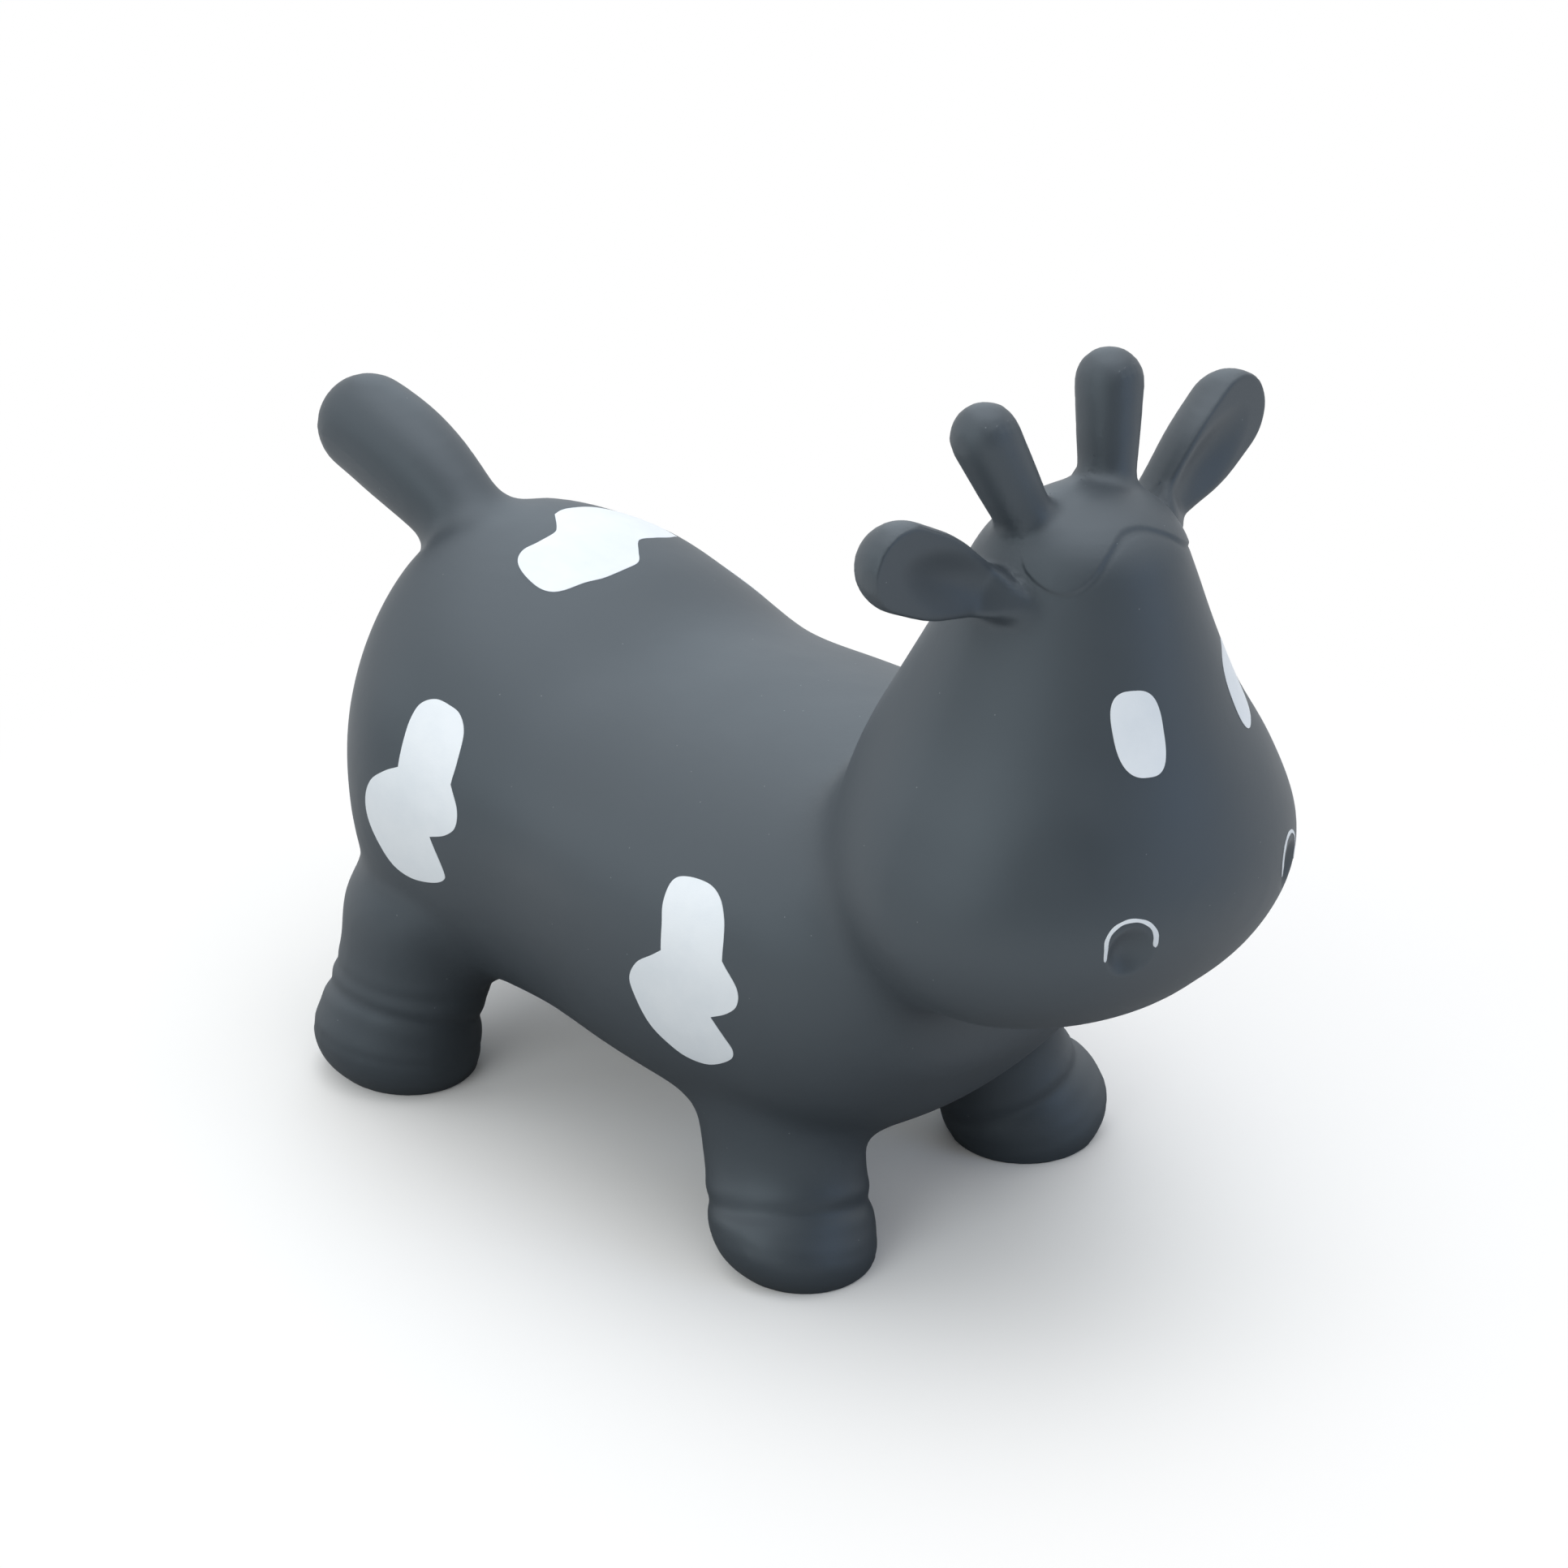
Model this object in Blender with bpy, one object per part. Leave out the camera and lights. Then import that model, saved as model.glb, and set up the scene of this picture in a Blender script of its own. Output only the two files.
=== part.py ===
"""Inflatable ride-on cow: one hollow moulded skin in its sections, its air valve and its painted marks.

The cow faces -Y, its left is +X and its soles stand on z = 0. The skin is lofted, blended and
hollowed as one piece, then divided at the neck, the hips and the roots of the horns, ears and tail.
"""
import math

import bmesh
import bpy
import numpy as np
from mathutils import Matrix, Vector
from mathutils.bvhtree import BVHTree

RIGHT, LEFT = -1, 1

# Skin, in metres
WALL = 0.002
SEAM_GAP = 0.0003
# grain of the blend that melts the forms together, and the reach of its cutters
BLEND_GRAIN = 0.0045
CUTTER_SPAN = 0.8
# faces kept of the blend, the most where it curves
DETAIL_SHARE = 0.038

# Torso: an egg along Y, its narrow end inside the neck, with heights above and below its middle line
TORSO_LENGTH = 0.434
TORSO_HALF_WIDTH = 0.130
TORSO_UPPER_HEIGHT = 0.105
TORSO_LOWER_HEIGHT = 0.127
BELLY_CLEARANCE = 0.048
RUMP_Y = 0.243
BELLY_FULLNESS_SHARE = 1.17
# along the torso from the rump, then the middle line's lift, half width, upper and lower height
TORSO_SHARES = (
    (0.00, 0.18, 0.05, 0.09, 0.08),
    (0.023, 0.16, 0.32, 0.51, 0.54),
    (0.08, 0.12, 0.70, 0.885, 0.88),
    (0.17, 0.05, 0.98, 0.995, 1.00),
    (0.29, 0.01, 1.01, 0.94, 1.00),
    (0.42, 0.00, 0.98, 0.77, 1.01),
    (0.56, -0.02, 1.03, 0.79, 1.02),
    (0.68, -0.02, 1.05, 0.82, 1.02),
    (0.79, -0.01, 1.04, 0.85, 0.97),
    (0.91, 0.03, 0.96, 0.87, 0.82),
    (1.00, 0.09, 0.76, 0.72, 0.48),
)

# Head: a pear along Z, its heavy end the muzzle, its chin level with the torso's middle line
HEAD_HEIGHT = 0.261
HEAD_HALF_WIDTH = 0.123
MUZZLE_LENGTH = 0.115
HEAD_BACK = 0.096
HEAD_AHEAD = 0.013
# up the head from the chin, then half width, reach to the front and to the back
HEAD_SHARES = (
    (0.00, 0.28, 0.17, 0.17),
    (0.02, 0.60, 0.52, 0.44),
    (0.08, 0.84, 0.75, 0.66),
    (0.17, 0.975, 0.915, 0.875),
    (0.29, 1.00, 1.00, 1.00),
    (0.44, 0.88, 0.92, 0.98),
    (0.59, 0.69, 0.785, 0.80),
    (0.75, 0.54, 0.67, 0.57),
    (0.86, 0.46, 0.585, 0.42),
    (0.94, 0.38, 0.50, 0.31),
    (0.98, 0.25, 0.36, 0.14),
    (1.00, 0.07, 0.22, 0.02),
)
NECK_TILT = math.radians(45)
# where the neck seam crosses the middle plane: along the torso, and up its upper height
NECK_SEAM_SHARES = (0.92, 0.45)

# Legs: bell-shaped, each drawn in above its hoof
HOOF_RADIUS = 0.044
SOLE_TRIM = 0.010
HIP_HEIGHT_SHARE = 0.74
LEG_SEAM_SHARE = 0.62
# how steeply a hoof's outer side is raised
HOOF_TILT_SHARE = 0.22
LEG_CUTTER_SHARES = (1.35, 1.50)
# hip places: out along the torso's half width, and along the torso from the rump
FRONT_HIP_SHARES = (0.546, 0.758)
REAR_HIP_SHARES = (0.615, 0.226)
FRONT_SPLAY = 0.017
FRONT_STEP = -0.027
REAR_SPLAY = 0.024
REAR_STEP = 0.024
# down the leg from the hip, the lean towards the foot, radius across and along the cow, and tilt
FRONT_LEG_SHARES = (
    (0.00, 0.00, 1.14, 1.30, 0.0),
    (0.104, 0.00, 1.00, 1.25, 0.0),
    (0.304, 0.08, 0.91, 1.13, 0.0),
    (0.494, 0.25, 0.86, 1.04, 0.2),
    (0.604, 0.45, 0.90, 1.01, 0.5),
    (0.664, 0.58, 0.92, 0.98, 0.7),
    (0.734, 0.78, 0.99, 0.97, 0.9),
    (0.807, 0.96, 1.01, 0.98, 1.0),
    (0.876, 1.05, 0.97, 0.95, 1.0),
    (0.940, 1.10, 0.84, 0.83, 1.0),
    (1.000, 1.12, 0.60, 0.60, 1.0),
)
REAR_LEG_SHARES = (
    (0.00, 0.00, 1.16, 1.20, 0.0),
    (0.104, 0.27, 1.11, 1.14, 0.0),
    (0.304, 0.50, 1.00, 1.02, 0.0),
    (0.494, 0.70, 0.94, 1.00, 0.2),
    (0.604, 0.86, 0.95, 1.00, 0.5),
    (0.664, 0.92, 0.96, 0.99, 0.7),
    (0.734, 0.97, 1.01, 1.04, 0.9),
    (0.807, 1.00, 1.01, 1.05, 1.0),
    (0.876, 1.00, 0.97, 1.01, 1.0),
    (0.940, 1.00, 0.85, 0.88, 1.0),
    (1.000, 1.00, 0.62, 0.65, 1.0),
)

# Tail: a club on an arc that flattens towards its tip
TAIL_LENGTH = 0.115
TAIL_RADIUS = 0.0278
TAIL_START_ANGLE = math.radians(43)
TAIL_END_ANGLE = math.radians(12)
# the root: along the torso from the rump, and up its upper height
TAIL_ROOT_SHARES = (0.12, 0.72)
TAIL_SHARES = ((0.00, 0.99), (0.25, 0.88), (0.50, 0.95), (0.75, 1.02), (1.00, 1.00))

# Horns: round clubs, spread outwards and raked back
HORN_LENGTH = 0.075
HORN_RADIUS = 0.017
HORN_SPREAD = math.radians(19)
HORN_RAKE = math.radians(17)
# roots of horns and ears: out along the head's half width, ahead of its middle, and up the head
HORN_ROOT_SHARES = (0.163, 0.087, 0.874)
HORN_SHARES = ((0.00, 1.12), (0.33, 0.84), (0.66, 0.91), (1.00, 1.00))

# Ears: paddles, drawn in at the root, their front cut back to a dished face
EAR_LENGTH = 0.0795
EAR_RADIUS = 0.022
EAR_LIFT = math.radians(29.5)
EAR_SWEEP = math.radians(5.5)
EAR_ROOT_SHARES = (0.382, 0.096, 0.847)
# along the ear, then radius up and radius to the front
EAR_SHARES = ((0.00, 0.48, 0.80), (0.30, 0.62, 0.86), (0.66, 0.94, 0.95), (1.00, 1.00, 1.00))
# how far the face stands ahead of the ear's line, its hollow and the roundness of its rim
EAR_FACE_AHEAD = 0.0075
EAR_HOLLOW = 0.0055
EAR_RIM = 0.0015
# the face's middle along the ear, its half length and half height, and where it starts
EAR_FACE_SHARES = (0.66, 0.60, 0.90, 0.30)

# Collars: the short rings of skin at the roots, which bend when a horn, an ear or the tail is pulled
HORN_COLLAR = 0.012
HORN_SEAM = 0.034
EAR_COLLAR = 0.012
EAR_SEAM = 0.016
TAIL_COLLAR = 0.016
TAIL_SEAM = 0.050
# radius of each limb's cutter, as a share of the limb's own
HORN_CUTTER_SHARE = 1.5
EAR_CUTTER_SHARE = 1.2
TAIL_CUTTER_SHARE = 1.8

# Nostrils: oval dents with a painted line arched over each
NOSTRIL_HALF_WIDTH = 0.0112
NOSTRIL_HALF_HEIGHT = 0.0138
NOSTRIL_DEPTH = 0.0050
# out along the half width, and up the head
NOSTRIL_SHARES = (0.468, 0.268)
ARCH_LINE = 0.0020
ARCH_RADIUS = 0.0113
ARCH_RISE = 0.0060
ARCH_OUTER_LEG = 0.0089
ARCH_INNER_LEG = 0.0054

# Paint, drawn as a film that stands off the skin by the seam gap
PAINT_FILM = 0.0005
EYE_HALF_WIDTH = 0.0114
EYE_HALF_HEIGHT = 0.0198
EYE_SQUARENESS_SHARE = 0.70
EYE_TILT = {RIGHT: math.radians(5), LEFT: math.radians(14)}
# out along the half width and up the head; the right eye sits nearer the middle of the face
EYE_PLACE_SHARES = {RIGHT: (0.248, 0.645), LEFT: (0.386, 0.623)}
FLANK_MARK_HEIGHT = 0.096
# along the torso from the rump to the mark's middle, and down the lower height to its lower end
FLANK_PLACE_SHARES = {"front": (0.7465, 0.421), "rear": (0.286, 0.255)}
# forwards and up from the middle of the lower end, as shares of the height
FRONT_OUTLINE_SHARES = (
    (-0.12, 0.99), (-0.20, 0.95), (-0.20, 0.855), (-0.16, 0.75), (-0.14, 0.625), (-0.20, 0.57),
    (-0.31, 0.485), (-0.37, 0.37), (-0.34, 0.265), (-0.26, 0.12), (-0.15, 0.04), (-0.02, 0.00),
    (0.14, 0.02), (0.29, 0.115), (0.325, 0.19), (0.28, 0.265), (0.21, 0.36), (0.31, 0.42),
    (0.375, 0.495), (0.37, 0.59), (0.265, 0.705), (0.245, 0.81), (0.21, 0.90), (0.135, 0.97),
    (0.03, 1.00),
)
REAR_OUTLINE_SHARES = (
    (-0.09, 0.985), (-0.155, 0.95), (-0.17, 0.875), (-0.16, 0.765), (-0.145, 0.64), (-0.235, 0.59),
    (-0.33, 0.505), (-0.375, 0.385), (-0.355, 0.26), (-0.27, 0.125), (-0.175, 0.03), (-0.05, 0.00),
    (0.105, 0.035), (0.21, 0.09), (0.215, 0.155), (0.13, 0.335), (0.235, 0.38), (0.305, 0.445),
    (0.30, 0.545), (0.22, 0.655), (0.21, 0.765), (0.17, 0.885), (0.095, 0.955), (0.00, 0.98),
)
BACK_MARK_WIDTH = 0.117
# middle of the mark: out along the half width to the left, and along the torso
BACK_PLACE_SHARES = (0.21, 0.233)
# to the left and forwards from its middle, as shares of its width
BACK_OUTLINE_SHARES = (
    (-0.05, -0.245), (0.02, -0.27), (0.125, -0.275), (0.245, -0.275), (0.38, -0.235), (0.475, -0.145),
    (0.505, -0.02), (0.40, 0.035), (0.285, 0.06), (0.195, 0.07), (0.145, 0.095), (0.085, 0.16),
    (0.02, 0.225), (-0.07, 0.245), (-0.21, 0.25), (-0.31, 0.23), (-0.425, 0.21), (-0.48, 0.17),
    (-0.50, 0.11), (-0.485, 0.01), (-0.445, -0.065), (-0.38, -0.10), (-0.29, -0.10), (-0.18, -0.11),
    (-0.125, -0.15),
)

# Valve: a flanged seat in the belly and its push-in plug
VALVE_PLACE_SHARE = 0.5
VALVE_BORE_RADIUS = 0.0040
VALVE_TUBE_WALL = 0.0016
VALVE_TUBE_LENGTH = 0.014
VALVE_FLANGE_RADIUS = 0.0110
VALVE_FLANGE = 0.0014
PLUG_CLEARANCE = 0.0003
PLUG_STEM_LENGTH = 0.0130
PLUG_HEAD_RADIUS = 0.0085
PLUG_HEAD = 0.0020

# Softer still: the valley between torso and head, and the bays where the legs leave the torso
NECK_REACH = 0.055
BAY_REACH = 0.075
NECK_PLACE_SHARE = 0.90
# how high up the torso's middle line the neck's softening sets in, and over which share it grows
NECK_RISE_SHARES = (0.70, 0.50)
# the bay's place along the torso, its lean there from the hip, and its lower and upper bounds
BAY_PLACE_SHARES = (0.50, 0.35)
BAY_RISE_SHARES = (0.38, 0.14)
BAY_FALL_SHARES = (0.75, 0.20)

# Mesh detail: the angle that stays a crease, the smallest edge, and counts
CREASE_ANGLE = math.radians(40)
SMALLEST_EDGE = 0.000003
BODY_SOFTENING = 14
CROWN_SOFTENING = 4
NECK_SOFTENING = 60
BAY_SOFTENING = 30
SOFTENING_STEPS = 6
RING_POINTS = 40
RINGS = 44
PATH_POINTS = 22
DOME_RINGS = 7
TURNED_SIDES = 24
EYE_POINTS = 20
ARC_POINTS = 12

TORSO_MIDDLE = BELLY_CLEARANCE + TORSO_LOWER_HEIGHT
HEAD_Y = RUMP_Y - TORSO_LENGTH - HEAD_AHEAD
SIDE_NAMES = {RIGHT: "right", LEFT: "left"}
X_AXIS = Vector((1, 0, 0))
Y_AXIS = Vector((0, 1, 0))
Z_AXIS = Vector((0, 0, 1))


def smooth_rows(table, count):
    """Rows read from a smooth curve through the table, whose first column is the place along it."""
    rows = np.array(table, float)
    place, values = rows[:, 0], rows[:, 1:]
    slopes = np.diff(values, axis=0) / np.diff(place)[:, None]
    tangents = np.vstack([slopes[:1], (slopes[1:] + slopes[:-1]) / 2, slopes[-1:]])
    along = np.linspace(place[0], place[-1], count)
    first = np.clip(np.searchsorted(place, along, side="right") - 1, 0, len(place) - 2)
    width = (place[first + 1] - place[first])[:, None]
    t = (along - place[first])[:, None] / width
    start = (2 * t**3 - 3 * t**2 + 1) * values[first] + (t**3 - 2 * t**2 + t) * width * tangents[first]
    end = (3 * t**2 - 2 * t**3) * values[first + 1] + (t**3 - t**2) * width * tangents[first + 1]
    return [(a, *row) for a, row in zip(along, start + end)]


def oval(centre, across, up, half_across, half_up, half_down, fullness=1):
    """A ring of points; a fullness over 1 squares it out below its middle."""
    ring = []
    for step in range(RING_POINTS):
        angle = math.tau * step / RING_POINTS
        side, height = math.cos(angle), math.sin(angle)
        reach = half_up
        if height < 0:
            reach = half_down
            side = math.copysign(abs(side) ** (1 / fullness), side)
            height = -abs(height) ** (1 / fullness)
        ring.append(centre + across * (side * half_across) + up * (height * reach))
    return ring


def loft(rings):
    """A closed mesh bridged from ring to ring, with a flat face at each end."""
    mesh = bmesh.new()
    loops = []
    for ring in rings:
        verts = [mesh.verts.new(point) for point in ring]
        loops.append([mesh.edges.new((verts[i - 1], verts[i])) for i in range(len(verts))])
    for lower, upper in zip(loops, loops[1:]):
        bmesh.ops.bridge_loops(mesh, edges=lower + upper)
    for end in (loops[0], loops[-1]):
        bmesh.ops.contextual_create(mesh, geom=end)
    bmesh.ops.recalc_face_normals(mesh, faces=mesh.faces[:])
    return mesh


def along_torso(share, x=0, z=0):
    """A point at a share of the torso's length from the rump."""
    return Vector((x, RUMP_Y - share * TORSO_LENGTH, z))


def on_head(out_share, ahead_share, up_share, side):
    """A point given by shares of the head's half width, muzzle length and height."""
    return Vector((side * out_share * HEAD_HALF_WIDTH, HEAD_Y - ahead_share * MUZZLE_LENGTH,
                   TORSO_MIDDLE + up_share * HEAD_HEIGHT))


def torso_form():
    """The torso, lofted from the rump to inside the neck."""
    rings = []
    for along, lift, half, rise, drop in smooth_rows(TORSO_SHARES, RINGS):
        centre = along_torso(along, z=TORSO_MIDDLE + lift * TORSO_UPPER_HEIGHT)
        rings.append(oval(centre, X_AXIS, Z_AXIS, half * TORSO_HALF_WIDTH, rise * TORSO_UPPER_HEIGHT,
                          drop * TORSO_LOWER_HEIGHT, BELLY_FULLNESS_SHARE))
    return loft(rings)


def head_form():
    """The head, lofted from the chin to the crown."""
    rings = []
    for along, half, front, back in smooth_rows(HEAD_SHARES, RINGS):
        rings.append(oval(on_head(0, 0, along, LEFT), X_AXIS, -Y_AXIS, half * HEAD_HALF_WIDTH,
                          front * MUZZLE_LENGTH, back * HEAD_BACK))
    return loft(rings)


def leg_places(end, side):
    """The hip and the foot of a leg, as points on its axis at hip height and on the floor."""
    shares, splay, step = {
        "front": (FRONT_HIP_SHARES, FRONT_SPLAY, FRONT_STEP),
        "rear": (REAR_HIP_SHARES, REAR_SPLAY, REAR_STEP),
    }[end]
    out = shares[0] * TORSO_HALF_WIDTH
    hip = along_torso(shares[1], side * out, HIP_HEIGHT_SHARE * TORSO_MIDDLE)
    foot = Vector((side * (out + splay), hip.y + step, 0))
    return hip, foot


def leg_form(end, side):
    """One leg, lofted from the hip to a sole that is trimmed flat later."""
    table = {"front": FRONT_LEG_SHARES, "rear": REAR_LEG_SHARES}[end]
    hip, foot = leg_places(end, side)
    rings = []
    for along, lean, across, length, tilt in smooth_rows(table, RINGS):
        centre = hip.lerp(foot, lean)
        centre.z = hip.z * (1 - along) - SOLE_TRIM
        rings.append(oval(centre, X_AXIS + Z_AXIS * (side * tilt * HOOF_TILT_SHARE), Y_AXIS,
                          across * HOOF_RADIUS, length * HOOF_RADIUS, length * HOOF_RADIUS))
    return loft(rings)


def club_form(path, table, radius, up):
    """A round-ended limb along a path; the table gives its radii towards up and across it."""
    rings = []
    for index, (point, row) in enumerate(zip(path, smooth_rows(table, len(path)))):
        ahead = (path[min(index + 1, len(path) - 1)] - path[max(index - 1, 0)]).normalized()
        tall = (up - ahead * up.dot(ahead)).normalized()
        wide = ahead.cross(tall)
        high, broad = row[1] * radius, row[-1] * radius
        rings.append(oval(point, wide, tall, broad, high, high))
    for step in range(1, DOME_RINGS):
        angle = math.pi / 2 * step / DOME_RINGS
        centre = path[-1] + ahead * (radius * math.sin(angle))
        shrink = math.cos(angle)
        rings.append(oval(centre, wide, tall, broad * shrink, high * shrink, high * shrink))
    return loft(rings)


def horn_line(side):
    """The horn's root and the direction it points in."""
    return on_head(*HORN_ROOT_SHARES, side), Vector(
        (side * math.tan(HORN_SPREAD), math.tan(HORN_RAKE), 1)).normalized()


def ear_line(side):
    """The ear's root and the direction it points in."""
    return on_head(*EAR_ROOT_SHARES, side), Vector(
        (side, math.tan(EAR_SWEEP), math.tan(EAR_LIFT))).normalized()


def straight_path(root, direction, length):
    """Points along a straight line from the root."""
    return [root + direction * (length * step / (PATH_POINTS - 1)) for step in range(PATH_POINTS)]


def tail_path():
    """Points along the tail's arc in the cow's middle plane."""
    points = [along_torso(TAIL_ROOT_SHARES[0], z=TORSO_MIDDLE + TAIL_ROOT_SHARES[1] * TORSO_UPPER_HEIGHT)]
    stride = TAIL_LENGTH / (PATH_POINTS - 1)
    for step in range(PATH_POINTS - 1):
        turned = (step + 0.5) / (PATH_POINTS - 1)
        angle = TAIL_START_ANGLE + (TAIL_END_ANGLE - TAIL_START_ANGLE) * turned
        points.append(points[-1] + Vector((0, math.cos(angle), math.sin(angle))) * stride)
    return points


def tail_line():
    """A straight line that the tail's collar is cut square to."""
    path = tail_path()
    index = round(TAIL_SEAM / TAIL_LENGTH * (len(path) - 1))
    direction = (path[index + 1] - path[index - 1]).normalized()
    return path[index] - direction * TAIL_SEAM, direction


def add_object(name, mesh):
    """A new object that holds the bmesh."""
    data = bpy.data.meshes.new(name)
    mesh.to_mesh(data)
    mesh.free()
    thing = bpy.data.objects.new(name, data)
    bpy.context.scene.collection.objects.link(thing)
    return thing


def modified(name, mesh, *settings):
    """The bmesh after modifiers of the given kinds and settings."""
    thing = add_object(name, mesh)
    for kind, values in settings:
        modifier = thing.modifiers.new(kind.lower(), kind)
        for key, value in values.items():
            setattr(modifier, key, value)
    result = bmesh.new()
    result.from_object(thing, bpy.context.evaluated_depsgraph_get())
    bpy.data.objects.remove(thing)
    return result


def joined(meshes):
    """One bmesh that holds all the given ones."""
    whole = bmesh.new()
    for mesh in meshes:
        data = bpy.data.meshes.new("part")
        mesh.to_mesh(data)
        whole.from_mesh(data)
        bpy.data.meshes.remove(data)
        mesh.free()
    return whole


def blended(meshes, rounds):
    """The forms melted into one skin, with its creases softened by the given number of rounds."""
    return modified(
        "blend", joined(meshes),
        ("REMESH", {"mode": "VOXEL", "voxel_size": BLEND_GRAIN}),
        ("SMOOTH", {"factor": 0.5, "iterations": rounds}))


def eased(value):
    """A smooth step from 0 to 1 as the value goes from 0 to 1."""
    value = min(max(value, 0), 1)
    return value * value * (3 - 2 * value)


def about_neck(point):
    """How close a point lies to the valley behind the head, from 0 to 1; the chin stays crisp."""
    start, span = NECK_RISE_SHARES
    far = (point.y - along_torso(NECK_PLACE_SHARE).y) / NECK_REACH
    return max(1 - far * far, 0) * eased((point.z / TORSO_MIDDLE - start) / span)


def about_hips(point):
    """How close a point lies to a bay where a leg leaves the torso, from 0 to 1."""
    near = 0
    for end in ("front", "rear"):
        for side in SIDE_NAMES:
            bay = leg_places(end, side)[0].lerp(along_torso(BAY_PLACE_SHARES[0]), BAY_PLACE_SHARES[1])
            far = math.hypot(point.x - bay.x, point.y - bay.y) / BAY_REACH
            near = max(near, min(1.5 - 1.5 * far * far, 1))
    level = point.z / TORSO_MIDDLE
    rise = eased((level - BAY_RISE_SHARES[0]) / BAY_RISE_SHARES[1])
    return near * rise * eased((sum(BAY_FALL_SHARES) - level) / BAY_FALL_SHARES[1])


def soften(mesh, about, rounds):
    """Smooths a region further, most where about gives 1."""
    shares = [about(vert.co) for vert in mesh.verts]
    for step in range(SOFTENING_STEPS):
        verts = [vert for vert, share in zip(mesh.verts, shares) if share > (step + 0.5) / SOFTENING_STEPS]
        for _ in range(rounds // SOFTENING_STEPS):
            bmesh.ops.smooth_vert(mesh, verts=verts, factor=0.5, use_axis_x=True, use_axis_y=True,
                                  use_axis_z=True)


def press_in(mesh, centre):
    """Presses an oval nostril into the muzzle."""
    for vert in mesh.verts:
        far = math.hypot((vert.co.x - centre.x) / NOSTRIL_HALF_WIDTH,
                         (vert.co.z - centre.z) / NOSTRIL_HALF_HEIGHT)
        if far < 1 and vert.co.y < HEAD_Y:
            vert.co.y += NOSTRIL_DEPTH * (1 - far * far) ** 1.25


def ear_form(side):
    """One ear, its front cut back to a dished face with a soft rim."""
    root, direction = ear_line(side)
    front = (-Y_AXIS + direction * direction.y).normalized()
    up = direction.cross(front)
    middle, half_length, half_height, start = EAR_FACE_SHARES
    mesh = club_form(straight_path(root, direction, EAR_LENGTH), EAR_SHARES, EAR_RADIUS, Z_AXIS)
    for vert in mesh.verts:
        offset = vert.co - root
        along, ahead, high = offset.dot(direction), offset.dot(front), offset.dot(up)
        far = ((along / EAR_LENGTH - middle) / half_length) ** 2 + (high / (half_height * EAR_RADIUS)) ** 2
        limit = EAR_FACE_AHEAD - EAR_HOLLOW * max(1 - far, 0) ** 1.5
        limit += EAR_RADIUS * eased(1 - along / (start * EAR_LENGTH))
        soft = -EAR_RIM * float(np.logaddexp(-ahead / EAR_RIM, -limit / EAR_RIM))
        vert.co += front * min(soft - ahead, 0)
    return mesh


def nostril_place(side):
    """The middle of a nostril in the head's front view; only its x and z count."""
    return on_head(NOSTRIL_SHARES[0], 1, NOSTRIL_SHARES[1], side)


def outer_form():
    """The whole outer skin at full detail, with its dents and flat soles."""
    legs = [leg_form(end, side) for end in ("front", "rear") for side in SIDE_NAMES]
    body = blended([torso_form(), head_form()] + legs, BODY_SOFTENING)
    soften(body, about_neck, NECK_SOFTENING)
    soften(body, about_hips, BAY_SOFTENING)
    crown = [body, club_form(tail_path(), TAIL_SHARES, TAIL_RADIUS, X_AXIS)]
    for side in SIDE_NAMES:
        horn = straight_path(*horn_line(side), HORN_LENGTH)
        crown.append(club_form(horn, HORN_SHARES, HORN_RADIUS, Y_AXIS))
        crown.append(ear_form(side))
    skin = blended(crown, CROWN_SOFTENING)
    for side in SIDE_NAMES:
        press_in(skin, nostril_place(side))
    return skin


def flat_soled(skin):
    """The skin cut flat on the floor."""
    everything = skin.verts[:] + skin.edges[:] + skin.faces[:]
    bmesh.ops.bisect_plane(skin, geom=everything, plane_co=Vector(), plane_no=-Z_AXIS,
                           clear_outer=True)
    bmesh.ops.holes_fill(skin, edges=[edge for edge in skin.edges if edge.is_boundary])
    return skin


def pushed(mesh, distance):
    """A copy of the mesh whose points are pushed out along their normals."""
    mesh = mesh.copy()
    mesh.normal_update()
    moved = [vert.co + vert.normal * distance for vert in mesh.verts]
    for vert, place in zip(mesh.verts, moved):
        vert.co = place
    return mesh


def turned_inward(mesh):
    """The same mesh with its faces turned round."""
    bmesh.ops.reverse_faces(mesh, faces=mesh.faces[:])
    return mesh


def thinned(mesh, share):
    """The mesh with only a share of its faces, the smallest ones kept where it curves most."""
    return modified("thin", mesh, ("DECIMATE", {"ratio": share}))


def lifted(mesh, height):
    """The mesh raised by a height."""
    bmesh.ops.translate(mesh, verts=mesh.verts, vec=Z_AXIS * height)
    return mesh


def make_skins():
    """The outer skin, and the hollow shell between it and the inner one."""
    thin = thinned(outer_form(), DETAIL_SHARE)
    inner = lifted(flat_soled(lifted(pushed(thin, -WALL), -WALL)), WALL)
    outer = flat_soled(thin)
    shell = joined([outer.copy(), turned_inward(inner)])
    return outer, shell


def slab(name, line, start, end, radius, flat=1):
    """A round cutter along a line from start to end; flat below 1 narrows it across the cow."""
    root, direction = line
    mesh = bmesh.new()
    bmesh.ops.create_cone(mesh, cap_ends=True, segments=TURNED_SIDES, radius1=radius, radius2=radius,
                          depth=end - start)
    bmesh.ops.scale(mesh, verts=mesh.verts, vec=(flat, 1, 1))
    turn = direction.to_track_quat("Z", "Y").to_matrix().to_4x4()
    place = Matrix.Translation(root + direction * ((start + end) / 2))
    bmesh.ops.transform(mesh, verts=mesh.verts, matrix=place @ turn)
    return hidden(name, mesh)


def half_space(name, point, normal):
    """A block that fills everything on the far side of a plane."""
    mesh = bmesh.new()
    bmesh.ops.create_cube(mesh, size=CUTTER_SPAN)
    turn = normal.to_track_quat("Z", "Y").to_matrix().to_4x4()
    place = Matrix.Translation(point + normal * (CUTTER_SPAN / 2))
    bmesh.ops.transform(mesh, verts=mesh.verts, matrix=place @ turn)
    return hidden(name, mesh)


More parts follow.
